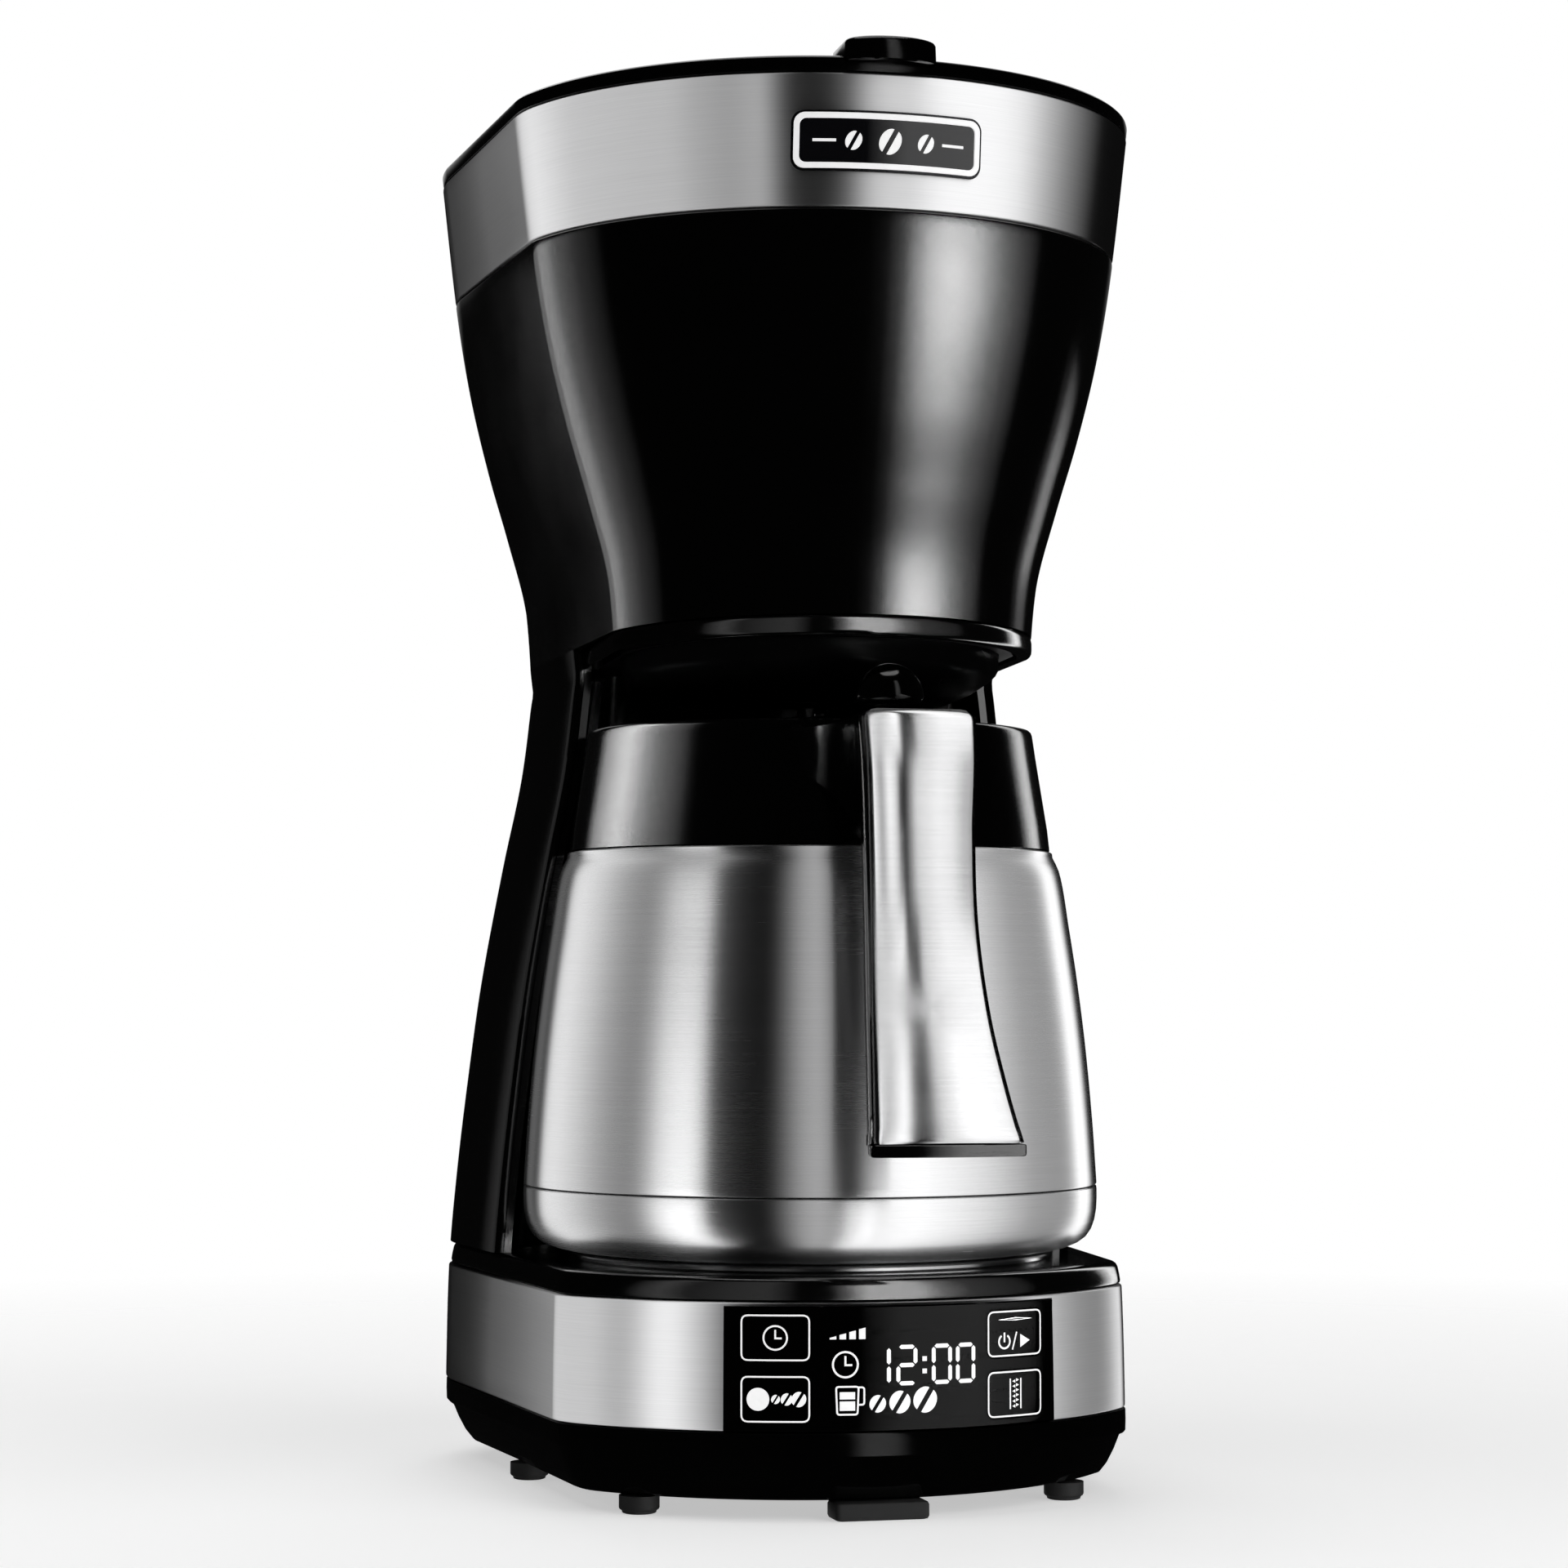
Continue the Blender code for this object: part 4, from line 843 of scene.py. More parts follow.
def make_panel():
    step = MM_PER_DEGREE
    reach, middle = PANEL_HALF_TURN * step, PANEL_TURN * step
    plate = bent_plate(middle - reach, middle + reach, BAND_Z + 0.1, PANEL_TOP_Z, -2.6, 0, bevel=0.2)
    panel = piece("panel_skin", plate, PANEL, "machine", "black_gloss", "control_panel", "clock_display")
    holes = []
    half_u, half_v = KEY_HALF_U + KEY_GAP, KEY_HALF_V + KEY_GAP
    for u, v in key_middles().values():
        holes.append(bent_plate(u - half_u, u + half_u, v - half_v, v + half_v, -6, 3, 2.4, bevel=0))
    boolean(panel, holes)
    signs = clock_icon(-6.5 * step, 38.4, 3.2, 0.5)
    signs += mug_icon(-6.2 * step, 29.3, 5.8, 7.0, 0.45)
    for turn, z, radius in ((-1.5, 28.4, 2.0), (2.0, 28.7, 2.6), (6.1, 29.1, 3.0)):
        signs += bean_icon(turn * step, z, radius)
    left, base, tall = -1.0 * step, 33.4, 9.2
    for character, offset, wide in (("1", -1.1, 3.2), ("2", 4.6, 4.6), ("0", 14.2, 4.6), ("0", 21.0, 4.6)):
        signs += digit(character, left + offset, base, wide, tall, 1.05)
    signs += [square(left + 11.7, base + tall * part, 0.6) for part in (0.32, 0.66)]
    foot = 44.8
    for turn, height in ((-8.4, 0.8), (-6.9, 1.5), (-5.4, 2.2), (-3.9, 2.9)):
        left, right = (turn - 0.5) * step, (turn + 0.5) * step
        signs.append(filled([(left, foot), (right, foot), (right, foot + height),
                             (left, foot + height - 0.4)]))
    # The display's figures and signs are white print with a painted glow
    piece("display_print", merged(signs), PRINT_PAINTED_GLOW, "machine", "led")


# ---------------------------------------------------------------- column, bay and head

def wing_ring(z, tilt, thickness=2.6):
    """A C-shaped ring: the outside from the right wing's front edge round the back, and back inside."""
    outer = [(wing_x(z, 1.5), WING_Y), (wing_x(z, 0.5), WING_Y + 0.15), (wing_x(z, 0.1), WING_Y + 0.6),
             (wing_x(z, 0, WING_Y + 1.6), WING_Y + 1.6), (wing_x(z, 0, 45), 45)] + rear_half(z, 0)
    inner = [(wing_x(z, thickness), WING_Y), (wing_x(z, thickness, 45), 45)] + rear_half(z, thickness)
    outside, inside = (half + [(-x, y) for x, y in half[-2::-1]] for half in (outer, inner))
    return at_height(outside + inside[::-1], z, tilt)


def head_edge(z):
    """How much a level near the head's lower edge leans."""
    return HEAD_TILT * min(max((z - 216) / (HEAD_Z - 216), 0), 1)


def make_column():
    levels = spread(DECK_Z + 0.1, HEAD_Z, 60)
    rings = [wing_ring(z, head_edge(z)) for z in levels]
    piece("column_skin", loft(rings), GLOSS, "machine", "black_gloss", "column_shell", crease=40)


def bay_outline(z, inset, steps=48):
    """The carafe bay: an ellipse behind the carafe between the wings' front edges."""
    half = wing_x(z, 2.9 + inset)
    depth = 83.5 - max(z - 172, 0) * 0.26 - inset
    turns = [math.pi * i / steps for i in range(steps + 1)]
    return [(half * math.cos(t), WING_Y + (depth - WING_Y) * math.sin(t)) for t in turns]


def make_bay_wall():
    rings = []
    for z in spread(DECK_Z + 0.1, HEAD_Z - 2, 36):
        rings.append(at_height(bay_outline(z, 0) + bay_outline(z, 2)[::-1], z, head_edge(z)))
    bay = piece("bay_wall_skin", loft(rings), GLOSS, "machine", "black_gloss", "carafe_bay_wall")
    slots = []
    for node in ("level_window_left", "level_window_right"):
        first, last = low(node), high(node)
        slots.append(block(first - Vector((0.3, 0.3, 0.3)), last + Vector((0.3, 0.3, 0.3)), 0.2))
    boolean(bay, slots, crease=34)


def make_head():
    section = [(HEAD_Z, 0)] + [(z, 0) for z in spread(234, STEEL_Z - SEAM - 0.8, 40)]
    section += [(STEEL_Z - SEAM - 0.4, 0.05), (STEEL_Z - SEAM - 0.1, 0.3), (STEEL_Z - SEAM, 0.7)]
    section += [(z, 2.4) for z in spread(STEEL_Z - SEAM, HEAD_Z, 30)]
    rings = []
    for z, inset in section:
        tilt = HEAD_TILT * min(max((244 - z) / (244 - HEAD_Z), 0), 1)
        rings.append(at_height(plan(z, inset, HEAD_FILLET), z, tilt))
    piece("head_skin", loft(rings, True), GLOSS, "machine", "black_gloss", "upper_shell", crease=30)

    section = wall_section(STEEL_Z, STEEL_TOP_Z, 2.0, 0.5, 12)
    rings = [at_height(plan(z, inset, BAND_FILLET), z) for z, inset in section]
    piece("upper_band_skin", loft(rings, True), BAND_STEEL, "machine", "brushed_steel", "upper_band",
          crease=30)


def make_flange_ring():
    rings = []
    outside = ((RING_Z, 0.1), (RING_Z + 0.3, 0.45), (RING_Z + 0.9, 0.8), (RING_Z + 1.8, 0.9),
               (HEAD_Z - 1.6, 0.9), (HEAD_Z - 0.9, 0.75), (HEAD_Z - 0.4, 0.35), (HEAD_Z - 0.3, 0))
    wing = wing_x(WAIST_Z, 2.9)
    for z, out in outside:
        outer = front_half(WAIST_Z, -out, RING_FILLET) + [(wing + out, WING_Y - 0.3)]
        inner = front_half(WAIST_Z, 3.2, RING_FILLET) + [(wing - 3, WING_Y - 0.3)]
        rings.append(at_height(both_sides(outer) + both_sides(inner)[::-1], z, HEAD_TILT))
    piece("flange_ring_skin", loft(rings), GLOSS, "machine", "black_gloss", "flange_ring")


def make_funnel():
    outer = [(52.3, 226.4), (52.3, 221.6), (51.6, 220.2), (50, 218.6), (45, 215.3), (38, 212.3),
             (31, FUNNEL_Z + 0.3), (29.6, FUNNEL_Z), (7.8, FUNNEL_Z), (7.5, FUNNEL_Z + 0.3)]
    inner = [(7.5, FUNNEL_Z + 2), (29, FUNNEL_Z + 2), (37, 214.4), (44, 217.6), (49.6, 222), (49.9, 226.4)]
    piece("funnel_skin", turned(outer + inner), SATIN, "machine", "black_satin", "brew_funnel")


def make_badge():
    """A plain plate on the steel band, with a fine rim and three beans."""
    middle_z = (low("badge_plate").z + high("badge_plate").z) / 2
    half_h = (high("badge_plate").z - low("badge_plate").z) / 2
    half_w, corner = 25.5, 3.2

    def on_band(u, v, out):
        radius, centre_y, _ = front_axis(middle_z + v)
        turn = u / radius
        return (radius + out) * math.sin(turn), centre_y - (radius + out) * math.cos(turn), middle_z + v

    def plate(half_u, half_v, round_by, inner, outer, bevel):
        rings = []
        for turn in spread(-0.5, 0.5, 48):
            u = half_u * math.sin(math.pi * turn)
            past = max(abs(u) - half_u + round_by, 0)
            half = half_v - round_by + math.sqrt(max(round_by ** 2 - past ** 2, 0)) * 0.98
            rows = [(-half, inner), (-half, outer - bevel), (bevel - half, outer)]
            rows += [(v, outer) for v in spread(bevel - half, half - bevel, 6)[1:-1]]
            rows += [(half - bevel, outer), (half, outer - bevel), (half, inner)]
            rings.append([on_band(u, v, out) for v, out in rows])
        return loft(rings)

    def raised(outline):
        return loft([[on_band(u, v, out) for u, v in outline] for out in (1.2, 1.45)])

    back = plate(half_w, half_h, corner, 0.4, 1.1, 0.15)
    border = plate(half_w - 0.7, half_h - 0.7, corner - 0.4, 0.9, 1.5, 0.12)
    # The badge rim is white print with a painted glow
    rim = piece("badge_rim", border, PRINT_PAINTED_GLOW, "machine", "brushed_steel")
    field = plate(half_w - 2.1, half_h - 2.1, corner - 1.4, 1.2, 2.5, 0)
    boolean(rim, [field])
    piece("badge_back", back, DARK_METAL, "machine", "dark_metal", "badge_plate")
    face = plate(half_w - 2.2, half_h - 2.2, corner - 1.5, 1.0, 1.25, 0.05)
    piece("badge_face", face, GLASS, "machine", "dark_glass")
    signs = []
    for u, radius in ((-9.5, 2.2), (0, 3.0), (9.5, 2.2)):
        signs += [raised([(u + x, y) for x, y in half]) for half in bean_halves(radius, 1.1, 0.8, -28)]
    for side in (-1, 1):
        signs.append(raised([(side * 14, -0.35), (side * 20, -0.35), (side * 20, 0.35), (side * 14, 0.35)]))
    # The badge's beans and bars are white print with a painted glow
    piece("badge_sign", merged(signs), PRINT_PAINTED_GLOW, "machine", "brushed_steel")


# ---------------------------------------------------------------- top

LID_AXIS_Y = 106.0
LID_AXIS_Z = 371.2
LID_EDGE = [(STEEL_TOP_Z + SEAM, 0.8), (STEEL_TOP_Z + 0.6, 0.35), (STEEL_TOP_Z + 1.0, 0.2),
            (LID_TOP_Z - 1.6, 0.2), (LID_TOP_Z - 0.9, 0.45), (LID_TOP_Z - 0.35, 1.1),
            (LID_TOP_Z - 0.05, 2.2), (LID_TOP_Z, 3.4)]


def lid_outline_rings(levels):
    return [at_height(plan(z, inset, LID_FILLET), z) for z, inset in levels]


def make_lid():
    groove = [(LID_TOP_Z, 9), (LID_TOP_Z - 0.4, 9.5), (LID_TOP_Z - 0.4, 10.1), (LID_TOP_Z, 10.6),
              (LID_TOP_Z, 30)]
    shape = loft(lid_outline_rings(LID_EDGE + groove))
    lid = piece("top_lid_skin", shape, GLOSS, "top_lid", "black_gloss", "top_lid")
    rear = block((-125, LID_AXIS_Y - 0.3, 355), (125, 155, 390), 0.01)
    cheeks = []
    for middle in (-83.5, 83.5):
        cheeks.append(block((middle - 41.5, LID_AXIS_Y - 3.2, 355), (middle + 41.5, 155, 390), 0.01))
    boolean(lid, [rear] + cheeks, crease=30)
    barrel = tube([(-41.9, LID_AXIS_Y, LID_AXIS_Z), (41.9, LID_AXIS_Y, LID_AXIS_Z)], 2.05, 32, 1.2)
    piece("lid_barrel", barrel, GLOSS, "top_lid", "black_gloss")
    piece("lid_tab", finger_tab(), GLOSS, "top_lid", "black_gloss")


def finger_tab():
    """The round finger lift, hollow underneath, running back into the lid."""
    rings = []
    levels = [(STEEL_TOP_Z + 2.6, 0.5), (STEEL_TOP_Z + 2.9, 0.1), (STEEL_TOP_Z + 3.4, 0),
              (TAB_TOP_Z - 1.4, 0.1), (TAB_TOP_Z - 0.7, 0.4), (TAB_TOP_Z - 0.2, 1.1), (TAB_TOP_Z, 2.2)]
    for z, inset in levels:
        half = 12.2 - inset
        turns = [math.pi * (1 - i / 40) for i in range(41)]
        nose = [(half * math.cos(t), inset - 86 - 6 * math.sin(t), z) for t in turns]
        back = max(z - LID_TOP_Z, 0) * 1.2
        tail = half + 1.5 - back * 0.4
        rings.append([(-tail, -78 + back, z)] + nose + [(tail, -78 + back, z)])
    return loft(rings)


def make_rear_cover():
    shape = loft(lid_outline_rings(LID_EDGE))
    cover = piece("rear_cover_skin", shape, GLOSS, "machine", "black_gloss", "rear_top_cover")
    front = block((-125, -150, 355), (125, LID_AXIS_Y - 1.8, 390), 0.01)
    notch = block((-42.4, 50, 355), (42.4, LID_AXIS_Y + 2.8, 390), 0.01)
    boolean(cover, [front, notch], crease=30)


def make_inside():
    """The filter, its holder and the shower head, seen when the lid is up."""
    outer = [(58, 357.8), (57.6, 358.3), (57.2, 358.4), (53, 358.4), (52.6, 358.2), (52.4, 357.6)]
    holder = outer + [(50, 300), (47.4, 240), (47.4, 231.5), (49.4, 231.5), (49.4, 240), (52, 300),
                      (54.2, 354), (55.2, 356.3), (58, 356.3)]
    piece("holder_skin", turned(holder), SATIN, "machine", "black_satin", "filter_holder")
    rim = [(51.8, 346.8), (51.8, 348.6), (51.4, 349), (47.6, 349), (47.2, 348.6), (43.6, 263), (22, 238.4),
           (3, 236), (3, 232.5), (6, 232.5), (22, 236), (45.5, 262), (49, 345), (51.4, 346.5)]
    piece("basket_skin", turned(rim), PLASTIC, "machine", "black_plastic", "filter_basket")
    cloth = [(46.2, 350), (42.7, 268), (24, 246), (0.5, 245.6), (0.5, 246.6), (23.6, 247), (41.8, 268.4),
             (45.2, 350)]
    piece("filter_cloth", turned(cloth, ring_shaped=False), FILTER, "machine", "filter_mesh",
          "permanent_filter")
    ribs = [turned([(48.4, 350.2), (48.4, 353.2), (48, 353.6), (45.4, 353.6), (45, 353.2), (45, 350.2)])]
    for turn in spread(0, 2 * math.pi, 8)[:-1]:
        down = ((45.4, 350.5), (42.1, 268.4), (23.6, 246.4))
        path = [(r * math.sin(turn), r * math.cos(turn), z) for r, z in down]
        ribs.append(tube(path, 0.8, 8))
    piece("filter_ribs", merged(ribs), PLASTIC, "machine", "black_plastic")
    arch = [(-41.5 * math.cos(t), 0, 344 + 10 * math.sin(t)) for t in spread(0, math.pi, 32)]
    piece("filter_bail", tube(arch, 1.5), PLASTIC, "machine", "black_plastic", "filter_handle")
    rose = [(5, 364.4), (22, 364.4), (24.5, 363.4), (26, 362), (26, 359), (25.4, 358.2), (24, 357.8),
            (0.5, 357.8)]
    piece("shower_skin", turned([(0.5, 364.4)] + rose, 96, ring_shaped=False), SATIN, "machine",
          "black_satin", "shower_head")


# ---------------------------------------------------------------- carafe

def make_carafe():
    side = [(eased(BODY_PROFILE, z), z) for z in spread(SEAM_Z + 0.5, 169.5, 48)]
    lip = [(66.9, 170.6), (66.5, COLLAR_Z - 0.1), (66.0, COLLAR_Z)]
    foot = [(78.3, SEAM_Z), (78.65, SEAM_Z + 0.2)]
    inside = [(65.1, COLLAR_Z)] + [(eased(BODY_PROFILE, z) - 1.2, z) for z in spread(165, SEAM_Z, 12)]
    piece("carafe_skin", turned(foot + side + lip + inside, 192), STEEL, "carafe", "brushed_steel",
          "carafe_shell")
    curve = [(78.3, SEAM_Z - 0.35), (78.65, SEAM_Z - 0.6), (78.75, SEAM_Z - 1.2), (78.75, 76.5), (78.6, 73.6),
             (78.1, 70.7), (77.2, 68.2), (75.8, 66.2), (73.9, 64.8), (71.5, 63.8), (68.6, 63.1),
             (62, CARAFE_Z)]
    rings = [circle(radius, z, 192) for radius, z in [(76, SEAM_Z - 0.35)] + curve]
    piece("carafe_foot_skin", loft(rings), STEEL, "carafe", "brushed_steel", "carafe_base_cup")
    lining = [(52.9, 199), (55, 190), (60, 172), (66.5, 150), (70, 118), (71.6, 90), (69, 74), (55, 69),
              (1, 69), (1, 70.4), (54.8, 70.4), (67.8, 75), (70.4, 90), (68.8, 118), (65.3, 150),
              (58.8, 172), (53.8, 189.6), (51.7, 199)]
    piece("carafe_liner_skin", turned(lining, 96), BRIGHT, "carafe", "brushed_steel", "carafe_liner")


def make_collar():
    slope = [(66.2, COLLAR_Z + 0.4), (66.15, COLLAR_Z + 0.9), (65.6, 177), (64, 187), (62.4, 197),
             (61.75, RIM_Z - 3)]
    rim = [(61.5, RIM_Z - 1.4), (61.2, RIM_Z - 0.6), (60.7, RIM_Z - 0.15), (60.0, RIM_Z)]
    inside = [(57.2, RIM_Z), (56.8, RIM_Z - 0.2), (56.5, RIM_Z - 0.6), (57.4, 192), (59.8, 180),
              (61.5, COLLAR_Z + 0.3)]
    piece("collar_skin", turned(slope + rim + inside, 192), GLOSS, "carafe", "black_gloss", "carafe_collar")


def handle_station(z):
    """(middle, outward direction, half-width) of the handle's cover at height z."""
    step = 0.5
    above, y, below = (eased(HANDLE_Y, level) for level in (z + step, z, z - step))
    along = Vector((0, below - above, -2 * step)).normalized()
    if z < HANDLE_LINE[-1][0] + 3:
        along = (along + Vector((0, 0, -1)) * 2).normalized()
    return Vector((0, y, z)), Vector((0, along.z, -along.y)), eased(HANDLE_HALF, z)


def handle_rings(section, levels):
    rings = []
    for z, shrink, lean in levels:
        middle, out, half = handle_station(z)
        ring = []
        for u, extra, v in section:
            ring.append(middle + Vector(((half - shrink) * u + extra, 0, 0)) + out * (v - lean))
        rings.append(ring)
    return rings


def crown(u):
    return 1.2 - 2.6 * abs(u) ** 2.2


def make_handle():
    top, bottom = HANDLE_LINE[0][0], HANDLE_LINE[-1][0]
    section = [(u, 0, crown(u)) for u in spread(-0.93, 0.93, 36)]
    section += [(0.975, 0, crown(0.93) - 0.35), (1, 0, crown(0.93) - 0.9), (1, 0, -2.4), (0.99, 0, -3.3)]
    section += [(-0.99, 0, -3.3), (-1, 0, -2.4), (-1, 0, crown(0.93) - 0.9), (-0.975, 0, crown(0.93) - 0.35)]
    levels = [(top, 2.4, 2.2), (top - 0.25, 1.4, 1.2), (top - 0.8, 0.6, 0.5), (top - 1.6, 0.15, 0.12),
              (top - 2.6, 0, 0)]
    levels += [(z, 0, 0) for z in spread(top - 5, bottom + 2.5, 56)]
    levels += [(bottom + 1.2, 0, 0), (bottom + 0.5, 0.1, 0.1), (bottom + 0.1, 0.35, 0.3)]
    shape = loft(handle_rings(section, levels))
    piece("handle_cover_skin", shape, HANDLE_STEEL, "carafe", "brushed_steel", "handle_cover")

    section = [(-1, -0.5, -1.6), (-1, -0.15, -1.2), (-0.985, 0, -3.45), (0.985, 0, -3.45), (1, 0.15, -1.2),
               (1, 0.5, -1.6), (1, 0.75, -3.2), (1, 0.75, -6), (0.93, 0, -10.5), (0.8, 0, -13),
               (0.55, 0, -14.6), (0.3, 0, -15), (-0.3, 0, -15), (-0.55, 0, -14.6), (-0.8, 0, -13),
               (-0.93, 0, -10.5), (-1, -0.75, -6), (-1, -0.75, -3.2)]
    levels = [(top - 0.6, 1.6, 0.8), (top - 0.9, 0.7, 0.4), (top - 1.8, 0, 0)]
    levels += [(z, 0, 0) for z in spread(top - 4, bottom + 0.4, 40)]
    shape = loft(handle_rings(section, levels))
    frame_piece = piece("handle_frame_skin", shape, GLOSS, "carafe", "black_gloss", "handle_frame")
    boolean(frame_piece, [handle_web()], "UNION", crease=32)
    collar_fit = [(66.5, 160), (66.3, 171), (65.7, 177), (64.1, 187), (62.5, 197), (61.3, 206), (40, 206),
                  (40, 160)]
    boolean(frame_piece, [turned(collar_fit, 192)], crease=32)

    piece("handle_end_skin", handle_end(), GLOSS, "carafe", "black_gloss", "handle_end_cap")


def handle_end():
    """The cap that closes the handle underneath."""
    z, y, half = HANDLE_LINE[-1]
    front = [(half * 1.05 * u, y - 1.6 + 2.4 * u * u) for u in spread(-1, 1, 24)]
    back = [(half * 0.92, y + 13), (half * 0.4, y + 15.4), (-half * 0.4, y + 15.4), (-half * 0.92, y + 13)]
    outline = rounded_corners(front + back, 0.6, 3)
    rings = []
    for drop, inset in ((3.2, 0.5), (3.0, 0.15), (2.6, 0), (0.7, 0), (0.35, 0.15), (0.25, 0.4)):
        scale = 1 - inset / half
        rings.append([(x * scale, (at - y - 5) * scale + y + 5, z - drop) for x, at in outline])
    return loft(rings)


def handle_web():
    """The black web from the collar to the top of the handle, flaring where it meets the collar."""
    stations = ((-52, 24, 189), (-58, 20.5, 187.5), (-62, 17.6, 186), (-67, 15.2, 183.6), (-73, 13.6, 180.6),
                (-80, 12.8, 177.2), (-88, 12.6, 174.2), (-97, 13.0, 172), (-106, 13.4, 171),
                (-112, 13.2, 171))
    rings = []
    for y, half, bottom in stations:
        top = 202.6 + (-52 - y) / 60 * 0.6
        crease_z = bottom + 5 + (top - bottom - 9) * (y + 112) / 60
        side = [(half, top - 1.2), (half - 0.15, (top + crease_z) / 2), (half - 1.0, crease_z - 1.5),
                (half - 2.0, bottom + 2.5), (half - 3.6, bottom + 0.6), (half - 6.5, bottom)]
        right = [(half - 2.4, top), (half - 0.9, top - 0.3)] + side
        rings.append([(x, y, z) for x, z in right] + [(-x, y, z) for x, z in right[::-1]])
    return loft(rings[::-1])


def make_carafe_lid():
    outer = [(55.0, 203.4), (55.3, 203.1), (55.4, 199.6), (50.6, 199.4), (50, 190), (46, 189)]
    inner = [(44, 191), (46, 200), (9, 201), (9, 199), (7, 199), (7, 204.3), (7.4, 204.6), (28, 204.8),
             (48, 204.4), (53, 204.0)]
    lid = piece("carafe_lid_skin", turned(outer + inner, 128), SATIN, "carafe_lid", "black_satin",
                "carafe_lid")
    ears = [block((side * 9.6 - 1.6, -38, 202), (side * 9.6 + 1.6, -30, 208.6), 0.5) for side in (-1, 1)]
    boolean(lid, ears + [valve_housing()], "UNION")
    lip = [(51.4, 197.4), (51.4, 196.8), (51.0, 196.2), (51.4, 195.6), (51.4, 193.8), (50.5, 193.6),
           (50.5, 197.6)]
    piece("lid_seal_skin", turned(lip), SILICONE, "carafe_lid", "silicone", "lid_seal")


def valve_housing():
    """The raised housing over the lid's valve."""
    rings = []
    for z, inset in ((202, 0), (207.6, 1.7), (208.8, 2), (209.5, 2.4), (209.8, 3)):
        wide, deep = 19.5 - inset, 11.2 - inset / 2
        front, back = -16.3 - deep, -16.3 + deep
        corners = [(-wide, front), (wide, front), (wide, back), (-wide, back)]
        rings.append([(x, y, z) for x, y in rounded_corners(corners, 4)])
    return loft(rings)


def make_lever():
    rings = []
    for y, bottom, top in ((-28, 205.6, 208.4), (-30, 205.3, 208.8), (-34, 205.2, 209.4), (-38, 205.4, 209.4),
                           (-50, 206.6, 209.4), (-64, 206.9, 209.8), (-80, 207.2, 210.2)):
        corners = [(-6.5, bottom), (6.5, bottom), (6.5, top), (-6.5, top)]
        rings.append([(x, y, z) for x, z in rounded_corners(corners, 0.7)])
    lever = piece("pour_lever_skin", loft(rings), GLOSS, "pour_lever", "black_gloss", "pour_lever")
    crest = high("pour_lever").z
    dome = [(0.5, 206.4), (7.0, 206.4), (8.2, 206.9), (8.8, 208)]
    dome += [(8.8 * math.cos(t), 208 + (crest - 208) * math.sin(t)) for t in spread(0.12,
                                                                                    math.pi / 2 - 0.06, 18)]
    boolean(lever, [turned(dome, 64, (0, -84.5), False)], "UNION", crease=40)


# ---------------------------------------------------------------- carried-over nodes

CARRIED = {
    "base_floor": PLASTIC, "base_frame": PLASTIC, "control_board": BOARD, "power_led": LAMP,
    "level_window_left": WINDOW, "level_window_right": WINDOW, "water_tank": CLEAR, "head_floor": PLASTIC,
    "riser_tube": CLEAR, "top_frame": SATIN, "lid_hinge_pin": BRIGHT, "drip_stop_spring": BRIGHT,
    "drip_stop_valve": SATIN, "flow_heater": ALUMINIUM, "thermostat": BRASS, "outlet_hose": SILICONE,
    "inlet_hose": SILICONE, "check_valve": PLASTIC, "cord_gland": RUBBER, "lever_pin": BRIGHT,
}


def finish_carried():
    for name, finish in CARRIED.items():
        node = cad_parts[name]
        node.data.materials.clear()
        node.data.materials.append(finish)


# ---------------------------------------------------------------- stage

# Pieces that have softboxes of their own
UPPER_BAND = ("upper_band_skin",)
BASE_BAND = ("base_band_skin",)
CARAFE_FOOT = ("carafe_foot_skin",)
CARAFE = ("carafe_skin", "carafe_foot_skin")
HANDLE = ("handle_cover_skin",)
HEAD = ("head_skin",)
COLUMN = ("column_skin",)
COLLAR = ("collar_skin",)
EDGES = ("platform_skin", "flange_ring_skin")
DIM = ("funnel_skin", "base_skirt_skin", "top_lid_skin", "lid_barrel", "lid_tab", "rear_cover_skin",
       "pour_lever_skin", "carafe_lid_skin")
ALL_HEIGHTS = ((-75, 1), (85, 1))
EDGE_HEIGHTS = ((-50, 1), (50, 1))
LIGHT_RADIUS = 1.25
LIGHT_MIDDLE_Z = 0.2
FLOOR_HALF = 1.5

# The camera's place in metres, its tilt and turn in degrees, and its lens in millimetres
CAMERA_PLACE = (-0.25378, -1.00724, 0.1364)
CAMERA_TILT = 93.03
CAMERA_TURN = -13.61
CAMERA_LENS = 87.02


def make_floor():
    """A pale floor that glows a little and fades into the background. It takes no reflections."""
    made, tree, shader = new_material("pale_floor")
    shader.inputs["Base Color"].default_value = (0.8, 0.8, 0.8, 1)
    shader.inputs["Roughness"].default_value = 0.7
    shader.inputs["Emission Color"].default_value = (1, 1, 1, 1)
    shader.inputs["Emission Strength"].default_value = 0.5
    vector = add(tree, "ShaderNodeTexCoord").outputs["Object"]
    reach = add(tree, "ShaderNodeVectorMath", operation="LENGTH")
    tree.links.new(vector, reach.inputs[0])
    fade = spread_over(tree, reach.outputs["Value"], 1.0, 0.0, 0.2, 0.8)
    clear_side = add(tree, "ShaderNodeBsdfTransparent")
    mix = add(tree, "ShaderNodeMixShader")
    tree.links.new(fade, mix.inputs["Fac"])
    tree.links.new(clear_side.outputs["BSDF"], mix.inputs[1])
    tree.links.new(shader.outputs["BSDF"], mix.inputs[2])
    tree.links.new(mix.outputs["Shader"], tree.nodes["Material Output"].inputs["Surface"])
    mesh = bpy.data.meshes.new("floor")
    corners = [(x * FLOOR_HALF, y * FLOOR_HALF, 0) for x, y in ((-1, -1), (1, -1), (1, 1), (-1, 1))]
    mesh.from_pydata(corners, [], [(0, 1, 2, 3)])
    mesh.materials.append(made)
    floor = bpy.data.objects.new("floor", mesh)
    bpy.context.scene.collection.objects.link(floor)
    floor.visible_glossy = False
    floor.visible_shadow = False


